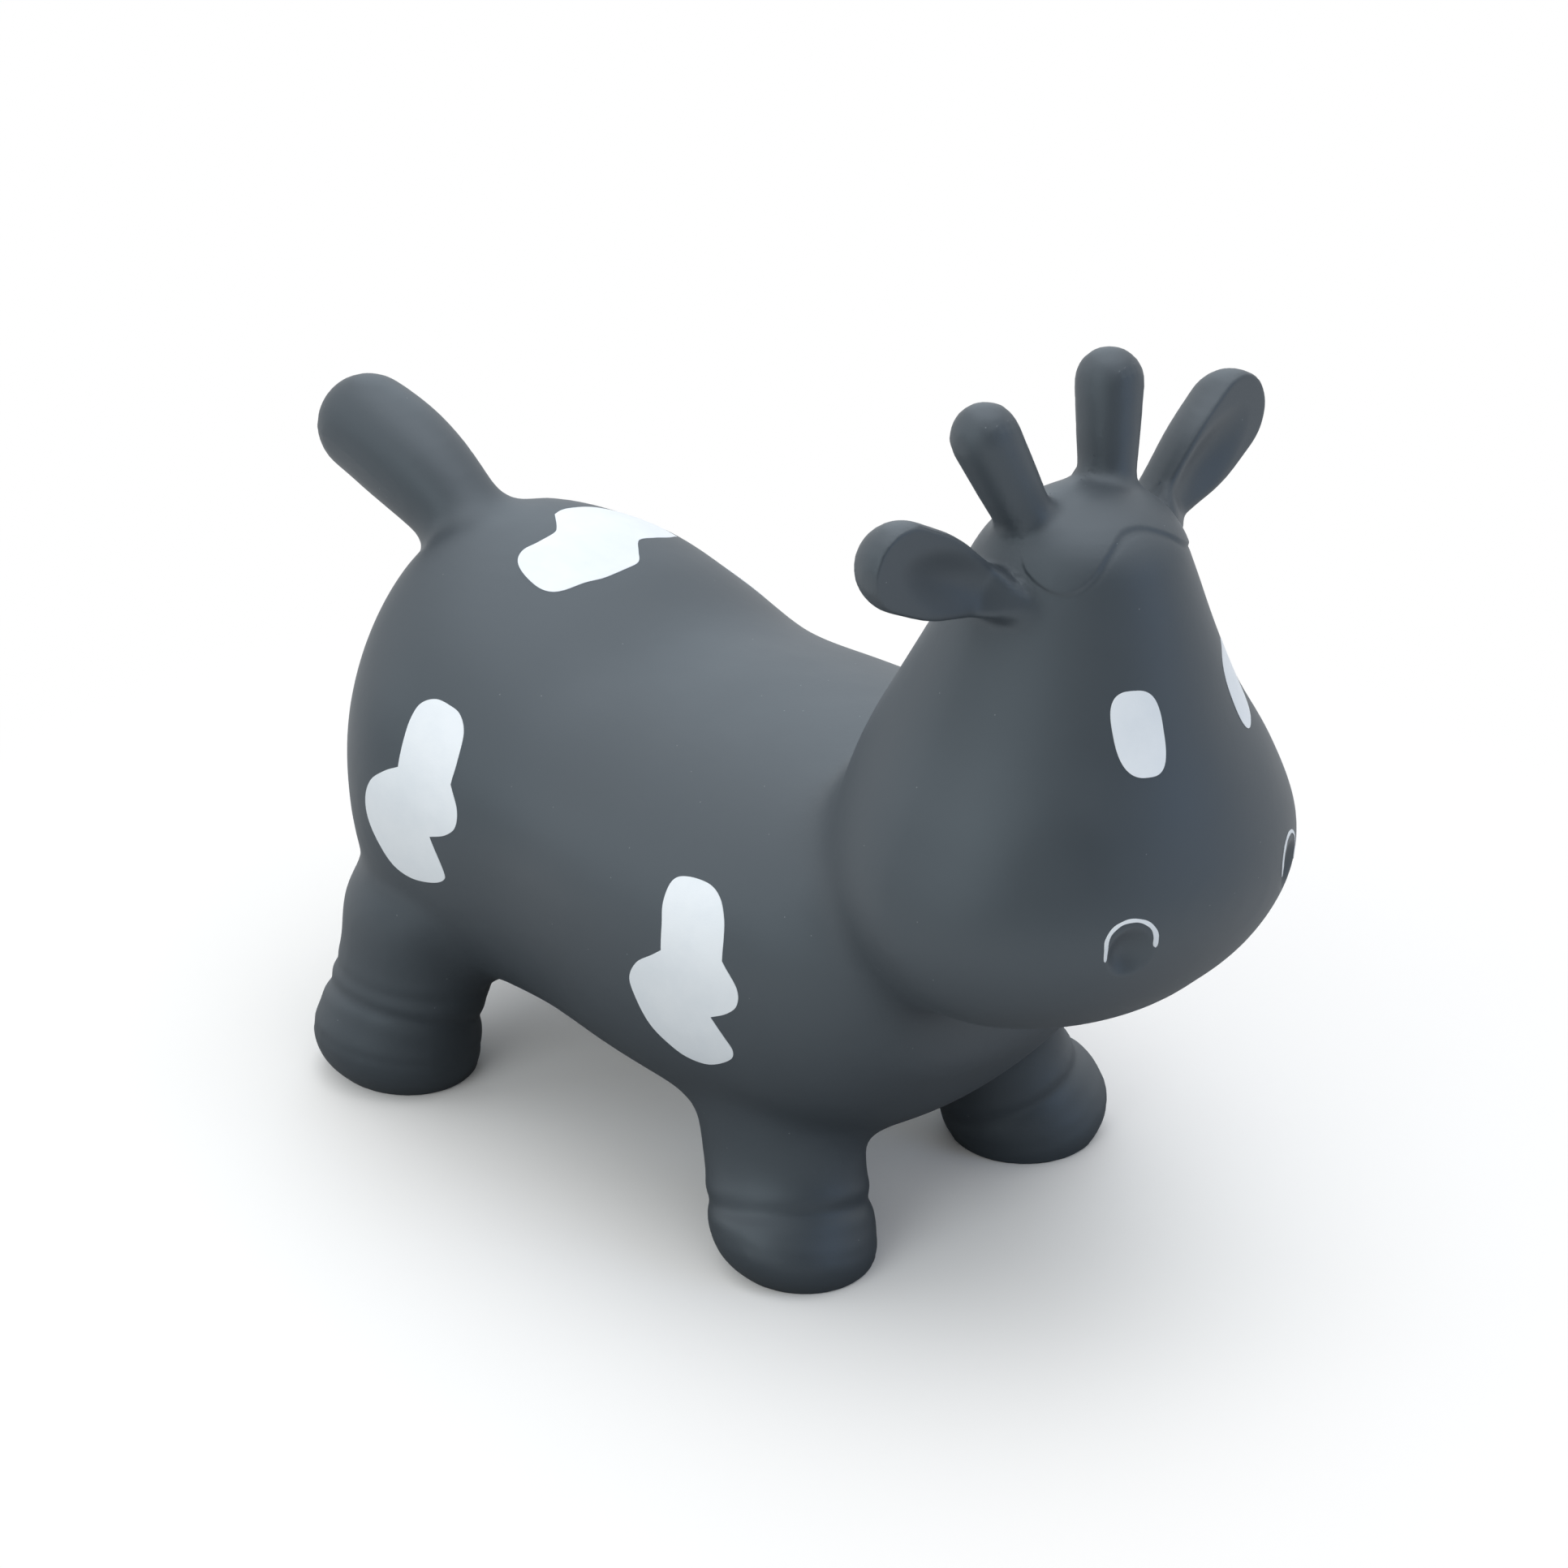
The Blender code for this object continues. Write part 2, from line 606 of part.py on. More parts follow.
def hidden(name, mesh):
    """A cutter that shows as a wire and isn't part of the cow."""
    thing = add_object(name, mesh)
    thing.hide_render = True
    thing.display_type = "WIRE"
    return thing


def painted(name, colour, roughness):
    """A plain material."""
    material = bpy.data.materials.new(name)
    material.use_nodes = True
    shader = material.node_tree.nodes["Principled BSDF"]
    shader.inputs["Base Color"].default_value = (*colour, 1)
    shader.inputs["Roughness"].default_value = roughness
    shader.inputs["Metallic"].default_value = 0
    return material


def grey_skin(name):
    """Charcoal soft PVC with a matt moulded face."""
    return painted(name, (0.105, 0.125, 0.140), 0.55)


def white_paint(name):
    """White sprayed vinyl paint."""
    return painted(name, (0.80, 0.83, 0.86), 0.5)


def white_plastic(name):
    """White polyethylene of the valve plug."""
    return painted(name, (0.78, 0.78, 0.76), 0.4)


def smoothed(thing, finish):
    """The object shaded smooth, with sharp rims, and given its finish."""
    thing.data.shade_smooth()
    thing.data.set_sharp_from_angle(angle=CREASE_ANGLE)
    thing.data.materials.append(finish(thing.name + "_finish"))
    return thing


def section(name, shell, kept, removed, pivot=Vector()):
    """A named piece of the shell: what lies in the kept cutters and outside the removed ones."""
    mesh = shell.copy()
    bmesh.ops.translate(mesh, verts=mesh.verts, vec=-pivot)
    thing = smoothed(add_object(name, mesh), grey_skin)
    thing.location = pivot
    for operation, cutters in (("INTERSECT", kept), ("DIFFERENCE", removed)):
        for cutter in cutters:
            cut = thing.modifiers.new(cutter.name, "BOOLEAN")
            cut.operation = operation
            cut.object = cutter
    return thing


def limb_sections(name, shell, line, seam, collar, length, radius):
    """A horn, ear or tail and its collar; returns the cutter that takes both from their neighbour."""
    half_gap = SEAM_GAP / 2
    pivot = line[0] + line[1] * (seam + collar / 2)
    far = length + radius
    limb = slab(name + "_cutter", line, seam + collar + half_gap, far, radius)
    ring = slab(name + "_root_cutter", line, seam + half_gap, seam + collar - half_gap, radius)
    section(name, shell, [limb], [], pivot)
    section(name + "_root", shell, [ring], [], pivot)
    return slab(name + "_opening", line, seam - half_gap, far, radius)


def leg_sections(shell):
    """The four legs below their seams; returns the cutters that take them from the torso."""
    openings = []
    for end in ("front", "rear"):
        for side, word in SIDE_NAMES.items():
            name = f"{end}_{word}_leg"
            hip, foot = leg_places(end, side)
            middle = hip.lerp(foot, 0.5)
            line = (Vector((middle.x, middle.y, 0)), Z_AXIS)
            seam = LEG_SEAM_SHARE * hip.z
            flat = LEG_CUTTER_SHARES[0] / LEG_CUTTER_SHARES[1]
            radius = LEG_CUTTER_SHARES[1] * HOOF_RADIUS
            cutter = slab(name + "_cutter", line, -HOOF_RADIUS, seam - SEAM_GAP, radius, flat)
            section(name, shell, [cutter], [])
            openings.append(slab(name + "_opening", line, -HOOF_RADIUS, seam, radius + SEAM_GAP, flat))
    return openings


def outline_object(name, points, direction, depth):
    """A cutter that runs from an outline of points in one direction."""
    mesh = bmesh.new()
    face = mesh.faces.new([mesh.verts.new(point) for point in points])
    pushed_out = bmesh.ops.extrude_face_region(mesh, geom=[face])["geom"]
    moved = [item for item in pushed_out if isinstance(item, bmesh.types.BMVert)]
    bmesh.ops.translate(mesh, verts=moved, vec=direction * depth)
    bmesh.ops.recalc_face_normals(mesh, faces=mesh.faces[:])
    return hidden(name, mesh)


def paint_mark(name, film, points, direction, depth):
    """A film of paint on the skin, where an outline drawn through it meets it."""
    thing = smoothed(add_object(name, film.copy()), white_paint)
    cut = thing.modifiers.new("outline", "BOOLEAN")
    cut.operation = "INTERSECT"
    cut.object = outline_object(name + "_outline", points, direction, depth)
    return thing


def flank_marks(film):
    """The four marks on the flanks, mirrored from side to side."""
    outlines = {"front": FRONT_OUTLINE_SHARES, "rear": REAR_OUTLINE_SHARES}
    for end, (along, down) in FLANK_PLACE_SHARES.items():
        for side, word in SIDE_NAMES.items():
            corner = along_torso(along, z=TORSO_MIDDLE - down * TORSO_LOWER_HEIGHT)
            points = [corner + Vector((0, -ahead, up)) * FLANK_MARK_HEIGHT
                      for ahead, up in outlines[end]]
            paint_mark(f"{end}_{word}_mark", film, points, X_AXIS * side, CUTTER_SPAN)


def back_mark(film):
    """The mark that lies across the back."""
    out, along = BACK_PLACE_SHARES
    middle = along_torso(along, out * TORSO_HALF_WIDTH, TORSO_MIDDLE)
    points = [middle + Vector((left, -ahead, 0)) * BACK_MARK_WIDTH
              for left, ahead in BACK_OUTLINE_SHARES]
    paint_mark("back_mark", film, points, Z_AXIS, CUTTER_SPAN)


def eye_outline(side):
    """A squared-off oval, tilted, as points in the face's front view."""
    out, up = EYE_PLACE_SHARES[side]
    centre = on_head(out, 0, up, side)
    lean = -side * EYE_TILT[side]
    points = []
    for step in range(EYE_POINTS):
        angle = math.tau * step / EYE_POINTS
        across, high = math.cos(angle), math.sin(angle)
        across = math.copysign(abs(across) ** EYE_SQUARENESS_SHARE, across) * EYE_HALF_WIDTH
        high = math.copysign(abs(high) ** EYE_SQUARENESS_SHARE, high) * EYE_HALF_HEIGHT
        points.append(centre + X_AXIS * (across * math.cos(lean) + high * math.sin(lean))
                      + Z_AXIS * (high * math.cos(lean) - across * math.sin(lean)))
    return points


def arch_outline(side):
    """The line over a nostril: an outer leg, half a circle and an inner leg, there and back."""
    centre = nostril_place(side) + Z_AXIS * ARCH_RISE
    centre.y = HEAD_Y
    points = []
    for radius, order in ((ARCH_RADIUS + ARCH_LINE / 2, 1), (ARCH_RADIUS - ARCH_LINE / 2, -1)):
        line = [(radius, -ARCH_OUTER_LEG)]
        for step in range(ARC_POINTS):
            angle = math.pi * step / (ARC_POINTS - 1)
            line.append((radius * math.cos(angle), radius * math.sin(angle)))
        line.append((-radius, -ARCH_INNER_LEG))
        points += [centre + X_AXIS * (side * out) + Z_AXIS * up for out, up in line[::order]]
    return points


def face_marks(film):
    """The eyes and the lines over the nostrils, drawn from the front."""
    for side, word in SIDE_NAMES.items():
        paint_mark(f"{word}_eye", film, eye_outline(side), -Y_AXIS, CUTTER_SPAN)
        paint_mark(f"{word}_nostril_line", film, arch_outline(side), -Y_AXIS, CUTTER_SPAN)


def turned(name, profile, place, finish):
    """A closed piece turned about the upright axis from a profile of (radius, height) points."""
    mesh = bmesh.new()
    verts = [mesh.verts.new((radius, 0, height)) for radius, height in profile]
    edges = [mesh.edges.new((verts[i - 1], verts[i])) for i in range(len(verts))]
    bmesh.ops.spin(mesh, geom=verts + edges, cent=(0, 0, 0), axis=Z_AXIS, angle=math.tau,
                   steps=TURNED_SIDES, use_merge=True)
    bmesh.ops.remove_doubles(mesh, verts=mesh.verts, dist=SMALLEST_EDGE)
    bmesh.ops.recalc_face_normals(mesh, faces=mesh.faces[:])
    thing = smoothed(add_object(name, mesh), finish)
    thing.location = place
    return thing


def belly_place(outer):
    """The middle of the valve, at the height of the lowest skin that its flange lies under."""
    tree = BVHTree.FromBMesh(outer)
    middle = along_torso(VALVE_PLACE_SHARE)
    heights = []
    for step in range(TURNED_SIDES):
        angle = math.tau * step / TURNED_SIDES
        rim = middle + Vector((math.cos(angle), math.sin(angle), 0)) * VALVE_FLANGE_RADIUS
        heights += [tree.ray_cast(point, Z_AXIS)[0].z for point in (rim, middle.lerp(rim, 0.5))]
    return middle + Z_AXIS * min(heights)


def valve(outer):
    """The valve's seat and plug; returns the cutter for its hole in the belly."""
    place = belly_place(outer) - Z_AXIS * SEAM_GAP
    bore, tube = VALVE_BORE_RADIUS, VALVE_BORE_RADIUS + VALVE_TUBE_WALL
    turned("valve_seat", (
        (bore, -VALVE_FLANGE), (VALVE_FLANGE_RADIUS, -VALVE_FLANGE), (VALVE_FLANGE_RADIUS, 0),
        (tube, 0), (tube, VALVE_TUBE_LENGTH), (bore, VALVE_TUBE_LENGTH)), place, grey_skin)
    stem = bore - PLUG_CLEARANCE
    top = -VALVE_FLANGE - SEAM_GAP
    turned("valve_plug", (
        (0, top - PLUG_HEAD), (PLUG_HEAD_RADIUS, top - PLUG_HEAD), (PLUG_HEAD_RADIUS, top),
        (stem, top), (stem, top + PLUG_STEM_LENGTH), (0, top + PLUG_STEM_LENGTH)), place, white_plastic)
    return slab("valve_hole", (place, Z_AXIS), -VALVE_TUBE_LENGTH, VALVE_TUBE_LENGTH, tube + SEAM_GAP)


def skin_sections(outer, shell):
    """The torso, the head and all that is divided from them."""
    legs = leg_sections(shell)
    tail = limb_sections("tail", shell, tail_line(), TAIL_SEAM, TAIL_COLLAR, TAIL_LENGTH + TAIL_RADIUS,
                         TAIL_CUTTER_SHARE * TAIL_RADIUS)
    crown = []
    for side, word in SIDE_NAMES.items():
        crown.append(limb_sections(f"{word}_horn", shell, horn_line(side), HORN_SEAM, HORN_COLLAR,
                                   HORN_LENGTH, HORN_CUTTER_SHARE * HORN_RADIUS))
        crown.append(limb_sections(f"{word}_ear", shell, ear_line(side), EAR_SEAM, EAR_COLLAR,
                                   EAR_LENGTH, EAR_CUTTER_SHARE * EAR_RADIUS))
    along, up = NECK_SEAM_SHARES
    neck = along_torso(along, z=TORSO_MIDDLE + up * TORSO_UPPER_HEIGHT)
    ahead = Vector((0, -math.sin(NECK_TILT), math.cos(NECK_TILT)))
    before = half_space("neck_front", neck + ahead * (SEAM_GAP / 2), ahead)
    behind = half_space("neck_back", neck - ahead * (SEAM_GAP / 2), -ahead)
    section("head", shell, [before], crown)
    section("torso", shell, [behind], legs + [tail, valve(outer)])


def main():
    """Builds the cow."""
    for thing in list(bpy.data.objects):
        bpy.data.objects.remove(thing)
    outer, shell = make_skins()
    skin_sections(outer, shell)
    film = joined([pushed(outer, SEAM_GAP + PAINT_FILM), turned_inward(pushed(outer, SEAM_GAP))])
    flank_marks(film)
    back_mark(film)
    face_marks(film)


main()
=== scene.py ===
"""Inflatable ride-on cow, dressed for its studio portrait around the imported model.

The cow faces -Y, its left is +X and its soles stand on z = 0. Lengths are in metres, and angles in
the sizes are in degrees. The skin is one moulding, so its forms are melted into one fine mesh and
the horns, the ears and the tail are then parted from it where they bend.
"""
from __future__ import annotations

import logging
import math
from collections.abc import Callable, Sequence
from dataclasses import dataclass, field
from enum import Enum

import bmesh
import bpy
import numpy as np
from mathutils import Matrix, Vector


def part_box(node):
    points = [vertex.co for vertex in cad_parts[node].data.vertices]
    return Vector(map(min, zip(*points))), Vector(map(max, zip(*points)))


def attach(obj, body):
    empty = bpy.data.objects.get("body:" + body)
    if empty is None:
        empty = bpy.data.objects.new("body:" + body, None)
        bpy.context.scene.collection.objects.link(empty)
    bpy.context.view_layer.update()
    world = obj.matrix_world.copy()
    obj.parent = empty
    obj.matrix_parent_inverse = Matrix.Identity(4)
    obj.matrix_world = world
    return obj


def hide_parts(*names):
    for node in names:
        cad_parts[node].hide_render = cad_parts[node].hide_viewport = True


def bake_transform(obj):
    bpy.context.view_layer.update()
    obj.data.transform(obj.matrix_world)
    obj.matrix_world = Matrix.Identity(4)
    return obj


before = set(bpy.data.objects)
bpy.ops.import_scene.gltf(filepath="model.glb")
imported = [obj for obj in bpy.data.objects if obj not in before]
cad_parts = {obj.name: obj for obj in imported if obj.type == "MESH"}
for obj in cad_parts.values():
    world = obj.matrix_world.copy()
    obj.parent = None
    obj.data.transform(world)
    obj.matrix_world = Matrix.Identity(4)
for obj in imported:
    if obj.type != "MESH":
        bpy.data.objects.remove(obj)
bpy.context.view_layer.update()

LOG = logging.getLogger("cow")
# how near two points are merged, and how near a seam faces are looked for
MERGE_DISTANCE = 0.00001
SEAM_WINDOW = 0.004
# the angle in degrees over which an edge is shaded sharp
SHARP_ANGLE = 40
X_AXIS = Vector((1, 0, 0))
Y_AXIS = Vector((0, 1, 0))
Z_AXIS = Vector((0, 0, 1))

Array = np.ndarray
BMesh = bmesh.types.BMesh
Table = tuple[tuple[float, ...], ...]
Near = Callable[[Array], Array]


class Side(Enum):
    """A side of the cow, by the sign of X."""

    RIGHT = -1
    LEFT = 1

    @property
    def word(self) -> str:
        """The side's name in node names."""
        return self.name.lower()


class End(Enum):
    """An end of the cow."""

    FRONT = "front"
    REAR = "rear"


def hermite(t: Array | float, here: Array, leaving: Array, there: Array, arriving: Array,
            width: Array | float = 1) -> Array:
    """Reads a smooth curve between two points.

    Args:
        t: how far along the curve to read, from 0 to 1.
        here: the first point.
        leaving: the slope at the first point.
        there: the second point.
        arriving: the slope at the second point.
        width: the length that the slopes count over.

    Returns:
        The value of the curve.
    """
    start = (2 * t**3 - 3 * t**2 + 1) * here + (t**3 - 2 * t**2 + t) * width * leaving
    end = (3 * t**2 - 2 * t**3) * there + (t**3 - t**2) * width * arriving
    return start + end


def smooth_rows(table: Table, count: int) -> list[tuple[float, ...]]:
    """Reads rows from a smooth curve through a table.

    Args:
        table: rows whose first column is the place along the curve.
        count: how many evenly spaced rows to read.

    Returns:
        The rows, each with its place first.
    """
    rows = np.array(table, float)
    place, values = rows[:, 0], rows[:, 1:]
    slopes = np.diff(values, axis=0) / np.diff(place)[:, None]
    tangents = np.vstack([slopes[:1], (slopes[1:] + slopes[:-1]) / 2, slopes[-1:]])
    along = np.linspace(place[0], place[-1], count)
    first = np.clip(np.searchsorted(place, along, side="right") - 1, 0, len(place) - 2)
    width = (place[first + 1] - place[first])[:, None]
    t = (along - place[first])[:, None] / width
    there = first + 1
    curve = hermite(t, values[first], tangents[first], values[there], tangents[there], width)
    return [(a, *row) for a, row in zip(along, curve)]


def eased(t: Array | float) -> Array | float:
    """A smooth step from 0 to 1 as t goes from 0 to 1."""
    t = np.clip(t, 0, 1)
    return t * t * (3 - 2 * t)


def risen(level: Array, ramp: tuple[float, float]) -> Array:
    """The smooth step that starts at the ramp's first value and takes its second to rise."""
    start, length = ramp
    return eased((level - start) / length)


def bump(off: Array) -> Array:
    """A smooth bump of height 1 about 0 that is gone by 1.5 on either side."""
    return np.exp(-off**2 * 2)


@dataclass(frozen=True)
class Grid:
    """How finely the lofts are drawn before they are melted together, as counts."""

    ring_points: int = 128
    rings: int = 140
    path_points: int = 60
    dome_rings: int = 16


GRID = Grid()


def oval(centre: Vector, across: Vector, up: Vector, half_across: float, half_up: float,
         half_down: float, fullness: float = 1) -> list[Vector]:
    """Makes a ring of points.

    Args:
        centre: the middle of the ring.
        across: the direction of its width.
        up: the direction of its upper half.
        half_across: half its width.
        half_up: its reach upwards.
        half_down: its reach downwards.
        fullness: over 1, squares the ring out below its middle.

    Returns:
        The points in order.
    """
    ring = []
    for step in range(GRID.ring_points):
        angle = math.tau * step / GRID.ring_points
        side, height = math.cos(angle), math.sin(angle)
        reach = half_up
        if height < 0:
            reach = half_down
            side = math.copysign(abs(side) ** (1 / fullness), side)
            height = -abs(height) ** (1 / fullness)
        ring.append(centre + across * (side * half_across) + up * (height * reach))
    return ring


def loft(rings: Sequence[Sequence[Vector]]) -> BMesh:
    """Bridges rings into a closed form.

    Args:
        rings: rings of as many points each, in order.

    Returns:
        A mesh with a flat face at each end.
    """
    mesh = bmesh.new()
    loops = []
    for ring in rings:
        verts = [mesh.verts.new(point) for point in ring]
        loops.append([mesh.edges.new((verts[i - 1], verts[i])) for i in range(len(verts))])
    for lower, upper in zip(loops, loops[1:]):
        bmesh.ops.bridge_loops(mesh, edges=lower + upper)
    for end in (loops[0], loops[-1]):
        bmesh.ops.contextual_create(mesh, geom=end)
    bmesh.ops.recalc_face_normals(mesh, faces=mesh.faces[:])
    return mesh


def joined(meshes: Sequence[BMesh]) -> BMesh:
    """Puts meshes into one and frees them.

    Args:
        meshes: the meshes to join.

    Returns:
        One mesh that holds them all.
    """
    whole = bmesh.new()
    for mesh in meshes:
        data = bpy.data.meshes.new("part")
        mesh.to_mesh(data)
        whole.from_mesh(data)
        bpy.data.meshes.remove(data)
        mesh.free()
    return whole


def link_mesh(name: str, mesh: BMesh) -> bpy.types.Object:
    """Makes an object of a mesh and frees the mesh.

    Args:
        name: the object's name.
        mesh: its shape, in world places.

    Returns:
        The object, linked to the scene.
    """
    data = bpy.data.meshes.new(name)
    mesh.to_mesh(data)
    mesh.free()
    piece = bpy.data.objects.new(name, data)
    bpy.context.scene.collection.objects.link(piece)
    return piece


def modified(mesh: BMesh, *steps: tuple[str, dict]) -> BMesh:
    """Runs modifiers over a mesh and frees it.

    Args:
        mesh: the mesh to change.
        steps: the kind and the settings of each modifier, in order.

    Returns:
        The changed mesh.
    """
    piece = link_mesh("modified", mesh)
    for kind, values in steps:
        modifier = piece.modifiers.new(kind.lower(), kind)
        for key, value in values.items():
            setattr(modifier, key, value)
    result = bmesh.new()
    result.from_object(piece, bpy.context.evaluated_depsgraph_get())
    data = piece.data
    bpy.data.objects.remove(piece)
    bpy.data.meshes.remove(data)
    return result


def places(mesh: BMesh) -> Array:
    """The places of a mesh's points, one row each."""
    return np.array([vert.co[:] for vert in mesh.verts])


def normals(mesh: BMesh) -> Array:
    """The fresh normals of a mesh's points, one row each."""
    mesh.normal_update()
    return np.array([vert.normal[:] for vert in mesh.verts])


def centres(mesh: BMesh) -> Array:
    """The middles of a mesh's faces, one row each."""
    return np.array([face.calc_center_median()[:] for face in mesh.faces])


def shift(mesh: BMesh, offsets: Array) -> None:
    """Moves each point of a mesh by its row of offsets."""
    for vert, offset in zip(mesh.verts, offsets):
        vert.co += Vector(offset)


def refine(mesh: BMesh, near: Near, rounds: int = 1) -> None:
    """Quarters the faces of a mesh where it needs finer detail.

    Args:
        mesh: the mesh to change.
        near: tells from an array of face centres which faces to quarter.
        rounds: how often to quarter them.
    """
    for _ in range(rounds):
        for face, hit in zip(mesh.faces, near(centres(mesh))):
            face.tag = bool(hit)
        edges = [edge for edge in mesh.edges if any(face.tag for face in edge.link_faces)]
        bmesh.ops.subdivide_edges(mesh, edges=edges, cuts=1, use_grid_fill=True, smooth=1.0)


@dataclass
class Torso:
    """The torso: an egg along Y, its narrow end inside the neck."""

    length: float = 0.434
    half_width: float = 0.130
    upper_height: float = 0.105
    lower_height: float = 0.127
    belly_clearance: float = 0.048
    rump_y: float = 0.243
    fullness_share: float = 1.17
    # along the torso from the rump, then the middle line's lift, half width, upper and lower height
    shares: Table = (
        (0.00, 0.18, 0.05, 0.09, 0.08),
        (0.023, 0.16, 0.32, 0.51, 0.54),
        (0.08, 0.12, 0.70, 0.885, 0.88),
        (0.17, 0.05, 0.98, 0.995, 1.00),
        (0.29, 0.01, 1.01, 0.94, 1.00),
        (0.42, 0.00, 0.98, 0.77, 1.01),
        (0.56, -0.02, 1.03, 0.79, 1.02),
        (0.68, -0.02, 1.05, 0.82, 1.02),
        (0.79, -0.01, 1.04, 0.85, 0.97),
        (0.91, 0.03, 0.96, 0.87, 0.82),
        (1.00, 0.09, 0.76, 0.72, 0.48),
    )

    @property
    def middle(self) -> float:
        """Height of the middle line above the floor."""
        return self.belly_clearance + self.lower_height

    def point(self, share: float, x: float = 0, z: float = 0) -> Vector:
        """A point at a share of the torso's length from the rump."""
        return Vector((x, self.rump_y - share * self.length, z))

    def form(self) -> BMesh:
        """The torso, lofted from the rump to inside the neck."""
        rings = []
        for along, lift, half, upper, lower in smooth_rows(self.shares, GRID.rings):
            centre = self.point(along, z=self.middle + lift * self.upper_height)
            rings.append(oval(centre, X_AXIS, Z_AXIS, half * self.half_width,
                              upper * self.upper_height, lower * self.lower_height,
                              self.fullness_share))
        return loft(rings)


@dataclass
class Nostril:
    """An oval dent in the muzzle."""

    half_width: float = 0.0112
    half_height: float = 0.0138
    depth: float = 0.0064
    bowl_power: float = 1.4
    # the skin is refined within these shares of its radius
    refined_shares: tuple[float, ...] = (1.35, 1.2)
    # out along the head's half width, and up the head
    shares: tuple[float, float] = (0.468, 0.268)

    def carve(self, mesh: BMesh, centre: Vector) -> None:
        """Presses the dent into the mesh.

        Args:
            mesh: the skin.
            centre: the middle of the dent as seen from the front.
        """
        def distance(points: Array) -> Array:
            """How far points lie from the nostril's middle, over its radius, from the front."""
            flat = np.hypot((points[:, 0] - centre.x) / self.half_width,
                            (points[:, 2] - centre.z) / self.half_height)
            return np.where(points[:, 1] < centre.y, flat, np.inf)

        for share in self.refined_shares:
            refine(mesh, lambda points: distance(points) < share)
        bowl = (1 - np.minimum(distance(places(mesh)), 1) ** 2) ** self.bowl_power
        shift(mesh, np.outer(bowl * self.depth, Y_AXIS))


@dataclass
class Forelock:
    """The moulded fringe: the forehead's skin stands proud above a line with two lobes."""

    rise: float = 0.0011
    edge: float = 0.0017
    groove: float = 0.0002
    reach: float = 0.045
    # how far out it reaches, short of the ears, and the share of that over which it fades out
    half_width: float = 0.060
    side_fade: float = 0.1
    # it lies above this share of the head's height and rises ahead of the head's axis, from the
    # first share of the head's back on and over the second
    start_share: float = 0.8
    front_shares: tuple[float, float] = (0.10, 0.15)
    # how far from the line the skin is refined and the groove below it lies, in widths of the edge
    refined_widths: tuple[float, ...] = (4, 2)
    groove_drop: float = 0.9
    # how many points the line is read at, and its height past its ends
    line_points: int = 400
    line_end: float = 1.2
    # round the head from its front towards the left, in degrees, and up the head
    line_shares: Table = (
        (-84, 1.050), (-76, 0.985), (-71, 0.936), (-62, 0.905), (-51, 0.889), (-42, 0.893),
        (-34, 0.914), (-25, 0.945), (-13, 0.967), (-3, 0.970), (7, 0.963), (16, 0.945),
        (25, 0.917), (36, 0.893), (48, 0.886), (60, 0.902), (70, 0.936), (76, 0.985), (84, 1.050),
    )

    def above(self, points: Array, head: Head) -> Array:
        """How far points lie above the line, square to it; far behind the crown they lie below."""
        angle = np.degrees(np.arctan2(points[:, 0], head.axis_y - points[:, 1]))
        curve = np.array(smooth_rows(self.line_shares, self.line_points))
        end = self.line_end
        line = np.interp(angle, curve[:, 0], curve[:, 1], left=end, right=end) * head.height
        slope = np.interp(angle, curve[:, 0], np.gradient(curve[:, 1], np.radians(curve[:, 0])))
        tilt = np.hypot(1, slope * head.height / self.reach)
        return (points[:, 2] - head.torso.middle - line) / tilt

    def carve(self, mesh: BMesh, head: Head) -> None:
        """Raises the skin above the line.

        Args:
            mesh: the skin.
            head: the head that carries the forelock.
        """
        start, length = (share * head.back for share in self.front_shares)

        def on_brow(points: Array) -> Array:
            """Which points lie high enough on the head."""
            return points[:, 2] > head.torso.middle + self.start_share * head.height

        def near(points: Array) -> Array:
            """How close points lie to the line, in widths of its edge."""
            inside = (points[:, 1] < head.axis_y) & (np.abs(points[:, 0]) < self.half_width)
            off = np.abs(self.above(points, head)) / self.edge
            return np.where(on_brow(points) & inside, off, np.inf)

        for width in self.refined_widths:
            refine(mesh, lambda points: near(points) < width)
        points = places(mesh)
        steps = self.above(points, head) / self.edge
        fade = eased((head.axis_y - start - points[:, 1]) / length) * on_brow(points)
        fade *= eased((1 - np.abs(points[:, 0]) / self.half_width) / self.side_fade)
        raised = self.rise * eased(steps + 0.5) - self.groove * bump(steps + self.groove_drop)
        shift(mesh, normals(mesh) * (raised * fade)[:, None])


